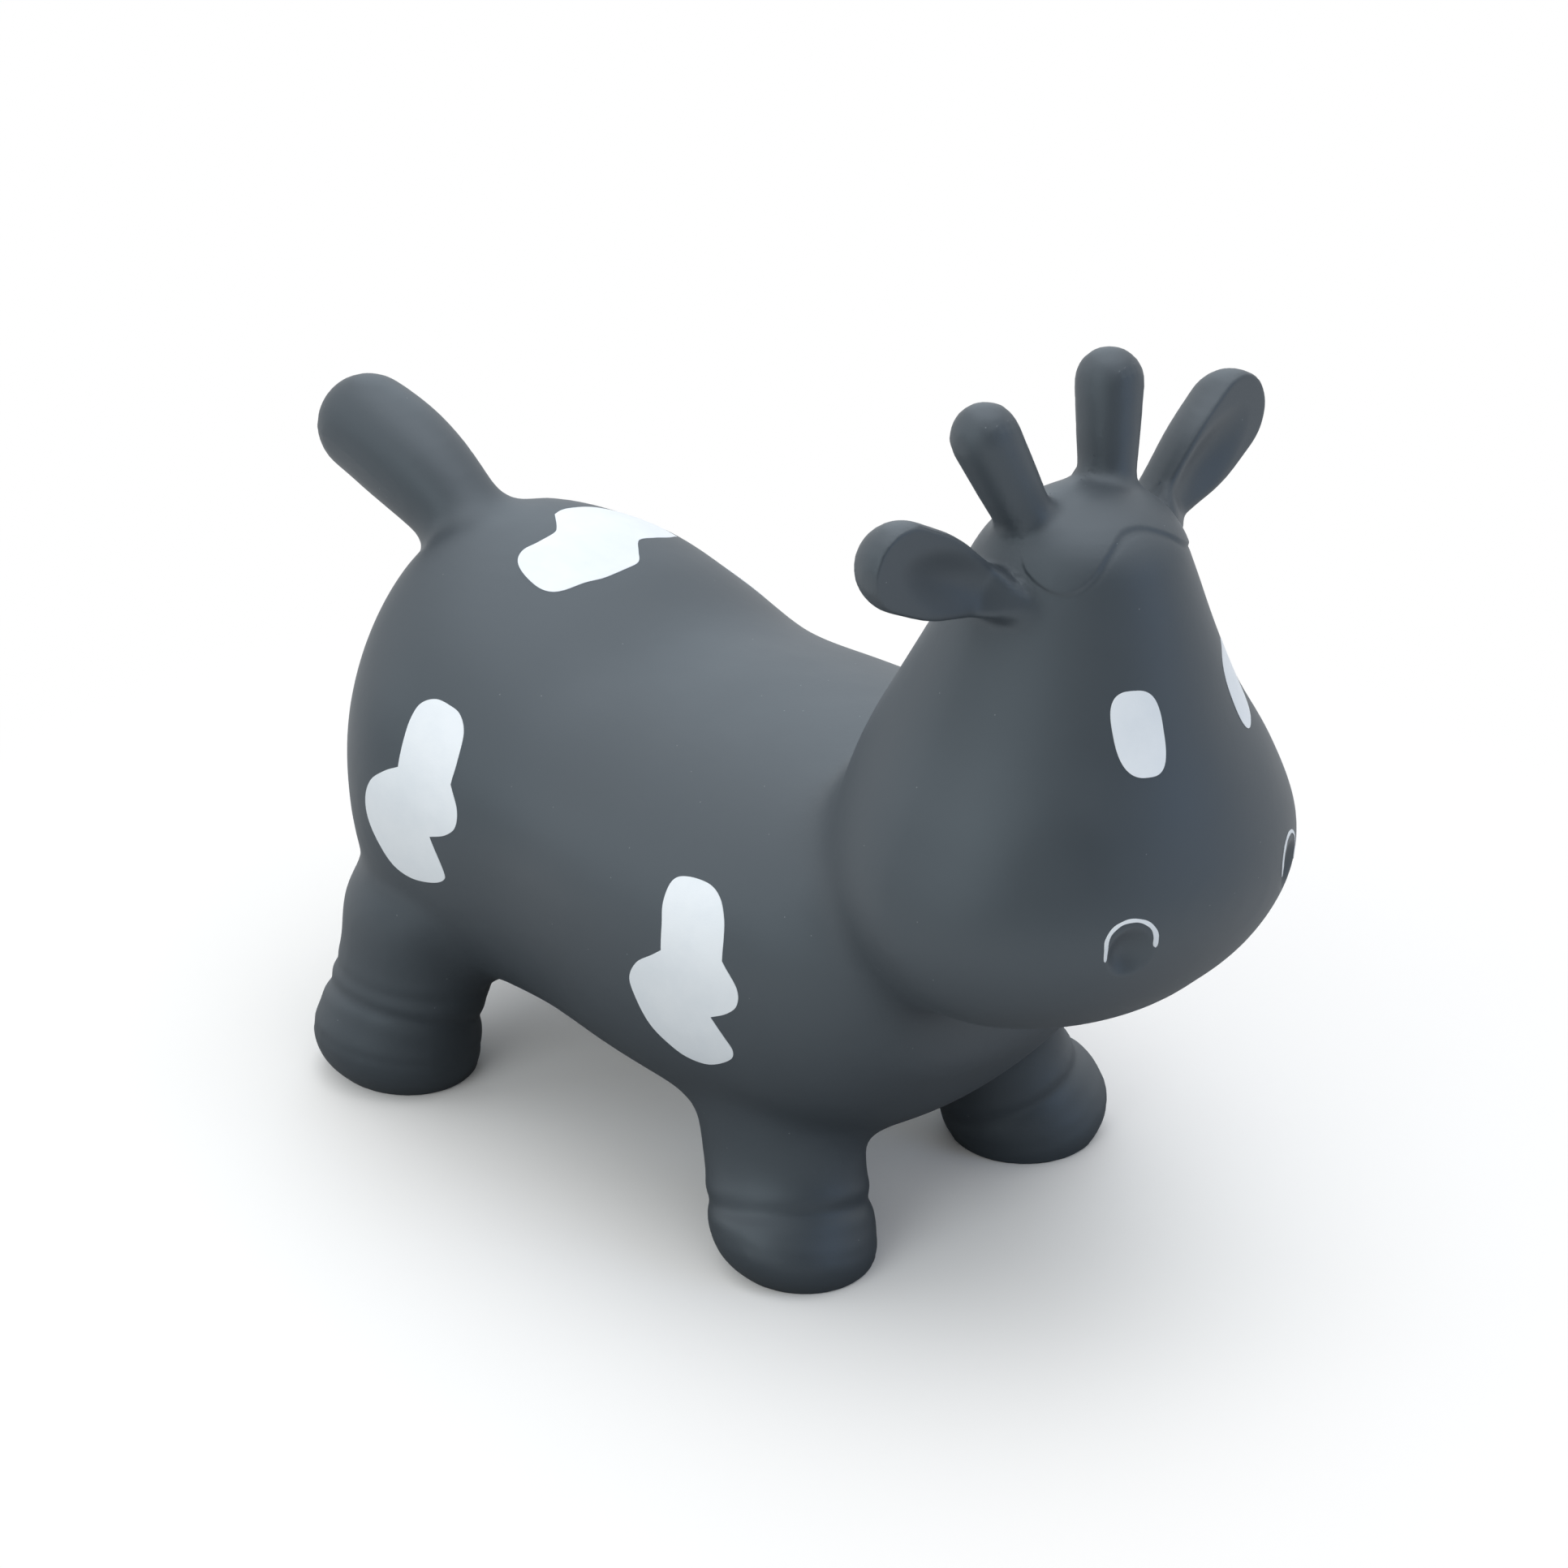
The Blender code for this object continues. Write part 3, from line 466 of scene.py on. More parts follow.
@dataclass
class Head:
    """The head: a pear along Z, its heavy end the muzzle."""

    torso: Torso
    height: float = 0.261
    half_width: float = 0.123
    muzzle: float = 0.115
    back: float = 0.096
    ahead: float = 0.013
    nostril: Nostril = field(default_factory=Nostril)
    forelock: Forelock = field(default_factory=Forelock)
    # up the head from the chin, then half width, reach to the front and to the back
    shares: Table = (
        (0.00, 0.28, 0.17, 0.17),
        (0.02, 0.60, 0.52, 0.44),
        (0.08, 0.84, 0.75, 0.66),
        (0.17, 0.975, 0.915, 0.875),
        (0.29, 1.00, 1.00, 1.00),
        (0.44, 0.88, 0.92, 0.98),
        (0.59, 0.69, 0.785, 0.80),
        (0.75, 0.54, 0.67, 0.57),
        (0.86, 0.46, 0.585, 0.42),
        (0.94, 0.38, 0.50, 0.31),
        (0.98, 0.25, 0.36, 0.14),
        (1.00, 0.07, 0.22, 0.02),
    )

    @property
    def axis_y(self) -> float:
        """Where the head's upright axis stands along Y."""
        return self.torso.rump_y - self.torso.length - self.ahead

    def point(self, out_share: float, ahead_share: float, up_share: float, side: Side) -> Vector:
        """A point given by shares of the head's half width, muzzle length and height."""
        return Vector((side.value * out_share * self.half_width,
                       self.axis_y - ahead_share * self.muzzle,
                       self.torso.middle + up_share * self.height))

    def form(self) -> BMesh:
        """The head, lofted from the chin to the crown."""
        rings = []
        for along, half, front, back in smooth_rows(self.shares, GRID.rings):
            centre = self.point(0, 0, along, Side.LEFT)
            rings.append(oval(centre, X_AXIS, -Y_AXIS, half * self.half_width,
                              front * self.muzzle, back * self.back))
        return loft(rings)

    def nostril_place(self, side: Side) -> Vector:
        """The middle of a nostril in the head's front view."""
        out, up = self.nostril.shares
        return self.point(out, 0, up, side)

    def carve(self, mesh: BMesh) -> None:
        """Presses the nostrils into the skin and raises the forelock."""
        for side in Side:
            self.nostril.carve(mesh, self.nostril_place(side))
        self.forelock.carve(mesh, self)


@dataclass
class Fold:
    """A soft mould fold that runs round a leg."""

    height: float
    depth: float
    width: float
    # how steeply it climbs outwards and forwards
    out_share: float = 0
    ahead_share: float = 0
    # the bulges above and below it: their height, place and width, in depths and widths of the fold
    bulges: Table = ((0.45, 1.7, 1.1), (0.30, -1.7, 1.2))

    def drop(self, points: Array, centre: Vector) -> Array:
        """How far the fold draws the skin in at each point."""
        out = (points[:, 0] - centre.x) * math.copysign(1, centre.x)
        level = self.height + self.out_share * out + self.ahead_share * (centre.y - points[:, 1])
        off = (points[:, 2] - level) / self.width
        drawn = np.exp(-off**2)
        for height, place, width in self.bulges:
            drawn = drawn - height * np.exp(-((off - place) / width) ** 2)
        return self.depth * drawn


@dataclass(frozen=True)
class LegSizes:
    """What a front leg and a rear leg differ in."""

    # the hip: out along the torso's half width, and along the torso from the rump
    hip_shares: tuple[float, float]
    # how far the foot stands outwards and backwards of the hip
    splay: float
    step: float
    # down the leg, then its lean to the foot, half width, half length and how far it is tilted
    shares: Table
    folds: tuple[Fold, ...]


LEG_SIZES = {
    End.FRONT: LegSizes((0.546, 0.758), 0.017, -0.027, (
        (0.00, 0.00, 1.14, 1.30, 0.0),
        (0.104, 0.00, 1.00, 1.25, 0.0),
        (0.304, 0.08, 0.91, 1.13, 0.0),
        (0.494, 0.25, 0.86, 1.04, 0.2),
        (0.604, 0.45, 0.90, 1.01, 0.5),
        (0.664, 0.58, 0.92, 0.98, 0.7),
        (0.734, 0.78, 0.99, 0.97, 0.9),
        (0.807, 0.96, 1.01, 0.98, 1.0),
        (0.876, 1.05, 0.97, 0.95, 1.0),
        (0.940, 1.10, 0.84, 0.83, 1.0),
        (1.000, 1.12, 0.60, 0.60, 1.0),
    ), (Fold(0.0315, 0.0012, 0.0046, 0.26, 0.25), Fold(0.0170, 0.0002, 0.0030, 0.22))),
    End.REAR: LegSizes((0.615, 0.226), 0.024, 0.024, (
        (0.00, 0.00, 1.16, 1.20, 0.0),
        (0.104, 0.27, 1.11, 1.14, 0.0),
        (0.304, 0.50, 1.00, 1.02, 0.0),
        (0.494, 0.70, 0.94, 1.00, 0.2),
        (0.604, 0.86, 0.95, 1.00, 0.5),
        (0.664, 0.92, 0.96, 0.99, 0.7),
        (0.734, 0.97, 1.01, 1.04, 0.9),
        (0.807, 1.00, 1.01, 1.05, 1.0),
        (0.876, 1.00, 0.97, 1.01, 1.0),
        (0.940, 1.00, 0.85, 0.88, 1.0),
        (1.000, 1.00, 0.62, 0.65, 1.0),
    ), (Fold(0.0420, 0.0011, 0.0045, 0.38), Fold(0.0600, 0.0005, 0.0040, 0.15),
        Fold(0.0190, 0.0003, 0.0028, 0.22))),
}


@dataclass
class Leg:
    """A leg: a bell drawn in above its hoof."""

    torso: Torso
    end: End
    side: Side
    hoof_radius: float = 0.044
    sole_trim: float = 0.010
    hip_height_share: float = 0.74
    # how steeply the hoof's outer side is raised
    tilt_share: float = 0.22
    # how far from the foot's middle the folds reach, as a share of the hoof's radius
    fold_reach: float = 1.35

    @property
    def sizes(self) -> LegSizes:
        """The sizes of the legs at this end."""
        return LEG_SIZES[self.end]

    def axis_ends(self) -> tuple[Vector, Vector]:
        """The hip and the foot, as points on the leg's axis."""
        sizes, side = self.sizes, self.side.value
        out = sizes.hip_shares[0] * self.torso.half_width
        height = self.hip_height_share * self.torso.middle
        hip = self.torso.point(sizes.hip_shares[1], side * out, height)
        return hip, Vector((side * (out + sizes.splay), hip.y + sizes.step, 0))

    def form(self) -> BMesh:
        """The leg, lofted from the hip to a sole that is trimmed flat later."""
        hip, foot = self.axis_ends()
        rings = []
        for along, lean, across, length, tilted in smooth_rows(self.sizes.shares, GRID.rings):
            centre = hip.lerp(foot, lean)
            centre.z = hip.z * (1 - along) - self.sole_trim
            wide = X_AXIS + Z_AXIS * (self.side.value * tilted * self.tilt_share)
            rings.append(oval(centre, wide, Y_AXIS, across * self.hoof_radius,
                              length * self.hoof_radius, length * self.hoof_radius))
        return loft(rings)

    def carve(self, mesh: BMesh) -> None:
        """Draws the folds in round the leg.

        Args:
            mesh: the skin.
        """
        foot = self.axis_ends()[1]
        folds = self.sizes.folds
        top = self.hip_height_share * self.torso.middle - self.hoof_radius

        def around(points: Array) -> Array:
            """Which points belong to the leg."""
            across = np.hypot(points[:, 0] - foot.x, points[:, 1] - foot.y)
            low = (points[:, 2] > 0) & (points[:, 2] < top)
            return low & (across < self.fold_reach * self.hoof_radius)

        refine(mesh, around)
        points = places(mesh)
        fade = around(points) * eased((top - points[:, 2]) / folds[0].width)
        drop = sum(fold.drop(points, foot) for fold in folds) * fade
        drop *= eased(points[:, 2] / folds[0].width)
        shift(mesh, normals(mesh) * -drop[:, None])


@dataclass
class Limb:
    """A round-ended club that bends at its root: what a horn, an ear and the tail share."""

    head: Head
    side: Side | None = None
    name: str = "limb"
    length: float = 0.0
    radius: float = 0.0
    # along the limb, then its radius towards up and across it
    shares: Table = ()
    # where the limb is parted from the skin, how long its bend is and how wide the parting reaches
    seam: float = 0.0
    bend: float = 0.0
    parting_share: float = 1.5

    @property
    def node(self) -> str:
        """The limb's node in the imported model."""
        return f"{self.side.word}_{self.name}" if self.side else self.name

    def up(self) -> Vector:
        """The direction that the first radius of the table is measured in."""
        return Y_AXIS

    def path(self) -> list[Vector]:
        """Points along the middle of the limb."""
        root, direction = self.line()
        return [root + direction * (self.length * step / (GRID.path_points - 1))
                for step in range(GRID.path_points)]

    def line(self) -> tuple[Vector, Vector]:
        """The root and the direction of the limb where it bends."""
        raise NotImplementedError

    def form(self) -> BMesh:
        """The limb, lofted along its path and closed with a dome."""
        path = self.path()
        rings = []
        for index, (point, row) in enumerate(zip(path, smooth_rows(self.shares, len(path)))):
            ahead = (path[min(index + 1, len(path) - 1)] - path[max(index - 1, 0)]).normalized()
            tall = (self.up() - ahead * self.up().dot(ahead)).normalized()
            wide = ahead.cross(tall)
            high, broad = row[1] * self.radius, row[-1] * self.radius
            rings.append(oval(point, wide, tall, broad, high, high))
        for step in range(1, GRID.dome_rings):
            angle = math.pi / 2 * step / GRID.dome_rings
            centre = path[-1] + ahead * (self.radius * math.sin(angle))
            shrink = math.cos(angle)
            rings.append(oval(centre, wide, tall, broad * shrink, high * shrink, high * shrink))
        return loft(rings)

    def along(self, points: Array) -> Array:
        """How far points lie along the limb's line from its root."""
        root, direction = self.line()
        return (points - np.array(root)) @ np.array(direction)

    def beside(self, points: Array) -> Array:
        """How far points lie from the limb's line."""
        root, direction = self.line()
        offset = points - np.array(root)
        return np.linalg.norm(offset - np.outer(offset @ np.array(direction), direction), axis=1)

    def beside_skin(self, points: Array) -> Array:
        """Which points lie no further from the limb's line than its parting reaches."""
        return self.beside(points) < self.parting_share * self.radius

    def owns(self, points: Array) -> Array:
        """Which points lie past the seam, on the limb."""
        return (self.along(points) > self.seam) & self.beside_skin(points)

    def carve(self, mesh: BMesh) -> None:
        """Adds the limb's own relief to the skin."""

    def part(self, mesh: BMesh) -> BMesh:
        """Parts the limb from the skin at its seam.

        Args:
            mesh: the whole skin, which loses the limb.

        Returns:
            The limb's own mesh.
        """
        root, direction = self.line()
        middles = centres(mesh)
        close = (np.abs(self.along(middles) - self.seam) < SEAM_WINDOW) & self.beside_skin(middles)
        faces = [face for face, hit in zip(mesh.faces, close) if hit]
        around = list({edge for face in faces for edge in face.edges})
        corners = list({vert for face in faces for vert in face.verts})
        bmesh.ops.bisect_plane(mesh, geom=corners + around + faces, dist=MERGE_DISTANCE,
                               plane_co=root + direction * self.seam, plane_no=direction)
        return separated(mesh, self.owns)

    def bends(self, piece: bpy.types.Object) -> None:
        """Bakes the piece's placement into its points and hides the nodes that it stands for."""
        root, direction = self.line()
        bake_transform(piece)
        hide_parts(self.node, self.node + "_root")


def separated(mesh: BMesh, owns: Near) -> BMesh:
    """Takes some faces out of a mesh.

    Args:
        mesh: the mesh that loses the faces.
        owns: tells from an array of face centres which faces to take.

    Returns:
        A mesh of the faces that were taken.
    """
    piece = mesh.copy()
    for part, keep in ((mesh, False), (piece, True)):
        lost = [face for face, hit in zip(part.faces, owns(centres(part))) if bool(hit) != keep]
        bmesh.ops.delete(part, geom=lost, context="FACES")
    return piece


@dataclass
class Horn(Limb):
    """A horn, spread outwards and raked back."""

    name: str = "horn"
    length: float = 0.075
    radius: float = 0.017
    spread: float = 19
    rake: float = 17
    # out along the head's half width, ahead of its middle, and up the head
    root_shares: tuple[float, float, float] = (0.163, 0.087, 0.874)
    shares: Table = ((0.00, 1.12), (0.33, 0.84), (0.66, 0.91), (1.00, 1.00))
    seam: float = 0.034
    bend: float = 0.016

    def line(self) -> tuple[Vector, Vector]:
        """The horn's root and the direction it points in."""
        direction = Vector((self.side.value * math.tan(math.radians(self.spread)),
                            math.tan(math.radians(self.rake)), 1))
        return self.head.point(*self.root_shares, self.side), direction.normalized()


@dataclass
class Ear(Limb):
    """An ear: a paddle drawn in at its root, its front cut back to a dished face."""

    name: str = "ear"
    length: float = 0.0795
    radius: float = 0.022
    lift: float = 29.5
    sweep: float = 5.5
    root_shares: tuple[float, float, float] = (0.382, 0.096, 0.847)
    shares: Table = ((0.00, 0.48, 0.80), (0.30, 0.62, 0.86), (0.66, 0.94, 0.95), (1.00, 1.00, 1.00))
    seam: float = 0.016
    bend: float = 0.016
    parting_share: float = 1.2
    # the flat face: how far it stands ahead of the ear's line, and the roundness of its rim, which
    # grows towards the root by the growth, over a share of the ear
    face_ahead: float = 0.0065
    rim: float = 0.0013
    rim_growth: float = 4.5
    rim_share: float = 0.8
    # how far from the rim the skin is refined a second time, in roundnesses of the rim
    rim_reach: float = 2
    # how far from its line the ear reaches, as a share of its radius
    reach_share: float = 1.3
    # where the cut sets in and how soon it is whole, as shares of the way to the seam
    cut_shares: tuple[float, float] = (0.2, 0.7)
    # the bowl in the face
    hollow: float = 0.0056
    # the bowl's middle along the ear, its half length and half height, and where the face starts
    face_shares: tuple[float, float, float, float] = (0.60, 0.50, 0.78, 0.34)

    def up(self) -> Vector:
        """The ear's flat stands upright."""
        return Z_AXIS

    def line(self) -> tuple[Vector, Vector]:
        """The ear's root and the direction it points in."""
        direction = Vector((self.side.value, math.tan(math.radians(self.sweep)),
                            math.tan(math.radians(self.lift))))
        return self.head.point(*self.root_shares, self.side), direction.normalized()

    def carve(self, mesh: BMesh) -> None:
        """Cuts the ear's front back to its dished face.

        Args:
            mesh: the skin.
        """
        root, direction = self.line()
        front = (-Y_AXIS + direction * direction.y).normalized()
        up = direction.cross(front)
        middle, half_length, half_height, start = self.face_shares
        begin, whole = (share * self.seam for share in self.cut_shares)

        def on_ear(points: Array) -> Array:
            """Which points lie on the ear, past its root."""
            near = self.beside(points) < self.reach_share * self.radius
            return (self.along(points) > begin) & near

        def faced(points: Array) -> tuple[Array, Array, Array]:
            """How far points lie along and ahead of the ear, and how far ahead its face is."""
            offset = points - np.array(root)
            along, ahead, high = (offset @ np.array(way) for way in (direction, front, up))
            far = (((along / self.length - middle) / half_length) ** 2
                   + (high / (half_height * self.radius)) ** 2)
            limit = self.face_ahead - self.hollow * np.clip(1 - far, 0, 1) ** 2
            return along, ahead, limit + self.radius * eased(1 - along / (start * self.length))

        def on_rim(points: Array) -> Array:
            """Which points of the ear lie close to the rim of its face."""
            _, ahead, limit = faced(points)
            return on_ear(points) & (np.abs(ahead - limit) < self.rim_reach * self.rim)

        refine(mesh, on_ear)
        refine(mesh, on_rim)
        points = places(mesh)
        along, ahead, limit = faced(points)
        growth = self.rim_growth * eased(1 - along / (self.rim_share * self.length))
        rim = self.rim * (1 + growth)
        soft = -rim * np.logaddexp(-ahead / rim, -limit / rim)
        cut = eased((along - begin) / whole) * on_ear(points) * (ahead > 0)
        shift(mesh, np.outer((soft - ahead) * cut, front))


@dataclass
class Tail(Limb):
    """The tail: a club on an arc that flattens towards its tip, with a fine mould line."""

    name: str = "tail"
    length: float = 0.115
    radius: float = 0.0278
    start_angle: float = 43
    end_angle: float = 12
    # the root: along the torso from the rump, and up its upper height
    root_shares: tuple[float, float] = (0.12, 0.72)
    shares: Table = ((0.00, 0.99), (0.25, 0.88), (0.50, 0.95), (0.75, 1.02), (1.00, 1.00))
    seam: float = 0.050
    bend: float = 0.020
    parting_share: float = 1.8
    mould_line: float = 0.00018
    mould_line_width: float = 0.0009
    # where the mould line starts to rise and over what length, as shares of the tail's length, and
    # how far past the tail's end it reaches and how far out, as shares of its radius
    rise_shares: tuple[float, float] = (0.4, 0.2)
    end_shares: tuple[float, float] = (0.8, 1.2)
    # how far from the mould line the skin is refined, in widths of the line
    refined_widths: tuple[float, ...] = (4, 2)

    def up(self) -> Vector:
        """The tail is round, so any direction across it does."""
        return X_AXIS

    def path(self) -> list[Vector]:
        """Points along the tail's arc in the cow's middle plane."""
        torso = self.head.torso
        share, lift = self.root_shares
        points = [torso.point(share, z=torso.middle + lift * torso.upper_height)]
        stride = self.length / (GRID.path_points - 1)
        for step in range(GRID.path_points - 1):
            turned = (step + 0.5) / (GRID.path_points - 1)
            angle = math.radians(self.start_angle + (self.end_angle - self.start_angle) * turned)
            points.append(points[-1] + Vector((0, math.cos(angle), math.sin(angle))) * stride)
        return points

    def line(self) -> tuple[Vector, Vector]:
        """A straight line that the tail's seam is cut square to."""
        path = self.path()
        index = round(self.seam / self.length * (len(path) - 1))
        direction = (path[index + 1] - path[index - 1]).normalized()
        return path[index] - direction * self.seam, direction

    def carve(self, mesh: BMesh) -> None:
        """Raises the mould line along both sides of the tail's end.

        Args:
            mesh: the skin.
        """
        path = np.array(self.path())
        start, rise = (share * self.length for share in self.rise_shares)
        past, out = (share * self.radius for share in self.end_shares)

        def off_line(points: Array) -> Array:
            """How far points lie above the tail's middle, in widths of the line, if on its end."""
            middle = np.interp(points[:, 1], path[:, 1], path[:, 2])
            along = points[:, 1] - path[0, 1]
            inside = (along > start) & (along < self.length + past) & (np.abs(points[:, 0]) < out)
            off = np.abs(points[:, 2] - middle) / self.mould_line_width
            return np.where(inside, off, np.inf)

        for width in self.refined_widths:
            refine(mesh, lambda points: off_line(points) < width)
        points = places(mesh)
        ridge = self.mould_line * bump(off_line(points))
        ridge *= eased((points[:, 1] - path[0, 1] - start) / rise)
        shift(mesh, normals(mesh) * ridge[:, None])


@dataclass
class Skin:
    """The whole moulded skin and the pieces that it is parted into."""

    head: Head
    legs: list[Leg]
    tail: Tail
    crown: list[Limb]
    grain: float = 0.0037
    # rounds of softening, counted at the coarse grain
    coarse_grain: float = 0.0045
    body_rounds: int = 14
    crown_rounds: int = 4
    # some regions are softer still, in steps; a level is a share of the torso's middle height
    soften_steps: int = 6
    # the valley between torso and head: its place along the torso, its reach, how much further it
    # stretches forwards low down, and the levels where it sets in and where the stretch ends, each
    # with how soon it does
    neck_share: float = 0.90
    neck_reach: float = 0.055
    neck_stretch: float = 0.6
    neck_start: tuple[float, float] = (0.6, 0.4)
    neck_stretch_end: tuple[float, float] = (1.1, 0.4)
    neck_rounds: int = 60
    # the bays above the legs: the place along the torso that they lean to, their reach across it,
    # how far each leans, its reach along the torso and the level where it sets in, how soon it
    # does, and the level where all end and how soon
    bay_share: float = 0.5
    bay_reach: float = 0.075
    bays: dict[End, tuple[float, float, float]] = field(default_factory=lambda: {
        End.FRONT: (0.25, 0.125, 0.31), End.REAR: (0.35, 0.075, 0.38)})
    bay_rise: float = 0.14
    bay_end: tuple[float, float] = (0.95, 0.2)
    bay_rounds: int = 30
    # the tail's root: its place as a share of the way to the seam, and its reach
    tail_share: float = 0.6
    tail_reach: float = 0.045
    tail_rounds: int = 12
    # how steeply the softening of the bays and the tail's root fades at their edge
    fade_slope: float = 1.5

    def blended(self, meshes: Sequence[BMesh], rounds: int) -> BMesh:
        """Melts forms into one skin.

        Args:
            meshes: closed forms that overlap.
            rounds: how much to soften their creases.

        Returns:
            The skin.
        """
        fine_rounds = round(rounds * (self.coarse_grain / self.grain) ** 2)
        return modified(joined(meshes), ("REMESH", {"mode": "VOXEL", "voxel_size": self.grain}),
                        ("SMOOTH", {"factor": 0.5, "iterations": fine_rounds}))

    def form(self) -> BMesh:
        """The whole skin with its relief, standing on flat soles."""
        trunk = [self.head.torso, self.head, *self.legs]
        body = self.blended([part.form() for part in trunk], self.body_rounds)
        self.soften(body, self.about_neck, self.neck_rounds)
        self.soften(body, self.about_hips, self.bay_rounds)
        limbs = [limb.form() for limb in (self.tail, *self.crown)]
        skin = self.blended([body, *limbs], self.crown_rounds)
        self.soften(skin, self.about_tail, self.tail_rounds)
        everything = skin.verts[:] + skin.edges[:] + skin.faces[:]
        bmesh.ops.bisect_plane(skin, geom=everything, plane_co=Vector(), plane_no=-Z_AXIS,
                               clear_outer=True)
        bmesh.ops.holes_fill(skin, edges=[edge for edge in skin.edges if edge.is_boundary])
        for carved in (self.head, self.tail, *self.crown, *self.legs):
            carved.carve(skin)
        skin.normal_update()
        return skin

    def about_neck(self, points: Array) -> Array:
        """How close points lie to the valley behind the head, from 0 to 1; the chin stays crisp."""
        torso = self.head.torso
        level = points[:, 2] / torso.middle
        far = (points[:, 1] - torso.point(self.neck_share).y) / self.neck_reach
        low_down = 1 + self.neck_stretch - self.neck_stretch * risen(level, self.neck_stretch_end)
        far = np.where(far < 0, far / low_down, far)
        return np.clip(1 - far**2, 0, 1) * risen(level, self.neck_start)

    def about_hips(self, points: Array) -> Array:
        """How close points lie to the bays where the legs leave the torso, from 0 to 1."""
        torso = self.head.torso
        near = np.zeros(len(points))
        level = points[:, 2] / torso.middle
        for leg in self.legs:
            lean, reach, start = self.bays[leg.end]
            bay = leg.axis_ends()[0].lerp(torso.point(self.bay_share), lean)
            far = np.hypot((points[:, 0] - bay.x) / self.bay_reach, (points[:, 1] - bay.y) / reach)
            near = np.maximum(near, self.faded(far) * risen(level, (start, self.bay_rise)))
        end, length = self.bay_end
        return near * eased((end - level) / length)

    def about_tail(self, points: Array) -> Array:
        """How close points lie to where the tail leaves the rump, from 0 to 1."""
        root, direction = self.tail.line()
        middle = np.array(root + direction * (self.tail_share * self.tail.seam))
        return self.faded(np.linalg.norm(points - middle, axis=1) / self.tail_reach)

    def faded(self, far: Array) -> Array:
        """How much of a softening is left that far from its middle, over its reach."""
        return np.clip(self.fade_slope - self.fade_slope * far**2, 0, 1)

    def soften(self, mesh: BMesh, about: Near, rounds: int) -> None:
        """Smooths a region further, most at its middle.

        Args:
            mesh: the mesh to change.
            about: gives from an array of points how much of the softening each takes, from 0 to 1.
            rounds: how much to smooth the middle, counted at the coarse grain.
        """
        steps = self.soften_steps
        share = about(places(mesh))
        each = round(rounds * (self.coarse_grain / self.grain) ** 2 / steps)
        for step in range(steps):
            verts = [vert for vert, part in zip(mesh.verts, share) if part > (step + 0.5) / steps]
            for _ in range(each):
                bmesh.ops.smooth_vert(mesh, verts=verts, factor=0.5, use_axis_x=True,
                                      use_axis_y=True, use_axis_z=True)

    def dress(self, mesh: BMesh, material: bpy.types.Material) -> None:
        """Parts the skin and makes its pieces.

        Args:
            mesh: the whole skin, which is used up.
            material: what it is made of.
        """
        kept = mesh.verts.layers.float_vector.new("skin_normal")
        for vert in mesh.verts:
            vert[kept] = vert.normal
        bends = [(limb, limb.part(mesh)) for limb in (self.tail, *self.crown)]
        body = publish("moulded_skin", mesh, material)
        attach(body, "body")
        legs = (f"{leg.end.value}_{leg.side.word}_leg" for leg in self.legs)
        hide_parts("torso", "head", *legs)
        for limb, part in bends:
            limb.bends(publish(limb.node + "_skin", part, material))


def publish(name: str, mesh: BMesh, material: bpy.types.Material) -> bpy.types.Object:
    """Makes a finished piece of a mesh and reports it.

    Args:
        name: the piece's name.
        mesh: its shape, which is used up. A layer named skin_normal gives its shading.
        material: its finish.

    Returns:
        The piece.
    """
    piece = link_mesh(name, mesh)
    data = piece.data
    data.shade_smooth()
    data.set_sharp_from_angle(angle=math.radians(SHARP_ANGLE))
    kept = data.attributes.get("skin_normal")
    if kept:
        directions = np.zeros(len(data.vertices) * 3, np.float32)
        kept.data.foreach_get("vector", directions)
        data.attributes.remove(kept)
        data.normals_split_custom_set_from_vertices(directions.reshape(-1, 3))
    data.materials.append(material)
    LOG.info("%s: %d faces", name, len(data.polygons))
    return piece


class View(Enum):
    """The direction a paint mark is drawn from, and its outline's two axes."""

    RIGHT = (-X_AXIS, -Y_AXIS, Z_AXIS)
    LEFT = (X_AXIS, -Y_AXIS, Z_AXIS)
    TOP = (Z_AXIS, X_AXIS, -Y_AXIS)
    FRONT = (-Y_AXIS, X_AXIS, Z_AXIS)

    @property
    def towards(self) -> Vector:
        """The direction from the cow towards the viewer."""
        return self.value[0]

    def place(self, centre: Vector, u: float, v: float) -> Vector:
        """The point at u and v from a centre."""
        return centre + self.value[1] * u + self.value[2] * v

    def flat(self, points: Array, centre: Vector) -> Array:
        """The u and v of points."""
        offset = points - np.array(centre)
        return np.stack([offset @ np.array(axis) for axis in self.value[1:]], axis=1)


def traced(points: Sequence[tuple[float, ...]], steps: int = 8) -> list[tuple[float, float]]:
    """Draws a smooth closed line through points.

    Args:
        points: (u, v) of a point on the line, or (u, v, 1) of a corner.
        steps: how many points to draw from one to the next.

    Returns:
        The points of the line.
    """
    line = []
    count = len(points)
    for index in range(count):
        before, here, there, after = (points[(index + k) % count] for k in (-1, 0, 1, 2))
        start = np.subtract(there[:2], before[:2] if len(here) < 3 else here[:2])
        end = np.subtract(after[:2] if len(there) < 3 else there[:2], here[:2])
        start, end = start * (0.5 if len(here) < 3 else 1), end * (0.5 if len(there) < 3 else 1)
        for step in range(steps):
            spot = hermite(step / steps, np.array(here[:2]), start, np.array(there[:2]), end)
            line.append(tuple(spot.tolist()))
    return line


def scaled(line: Sequence[tuple[float, float]], size: float) -> list[tuple[float, float]]:
    """A flat line, size times as large."""
    return [(u * size, v * size) for u, v in line]


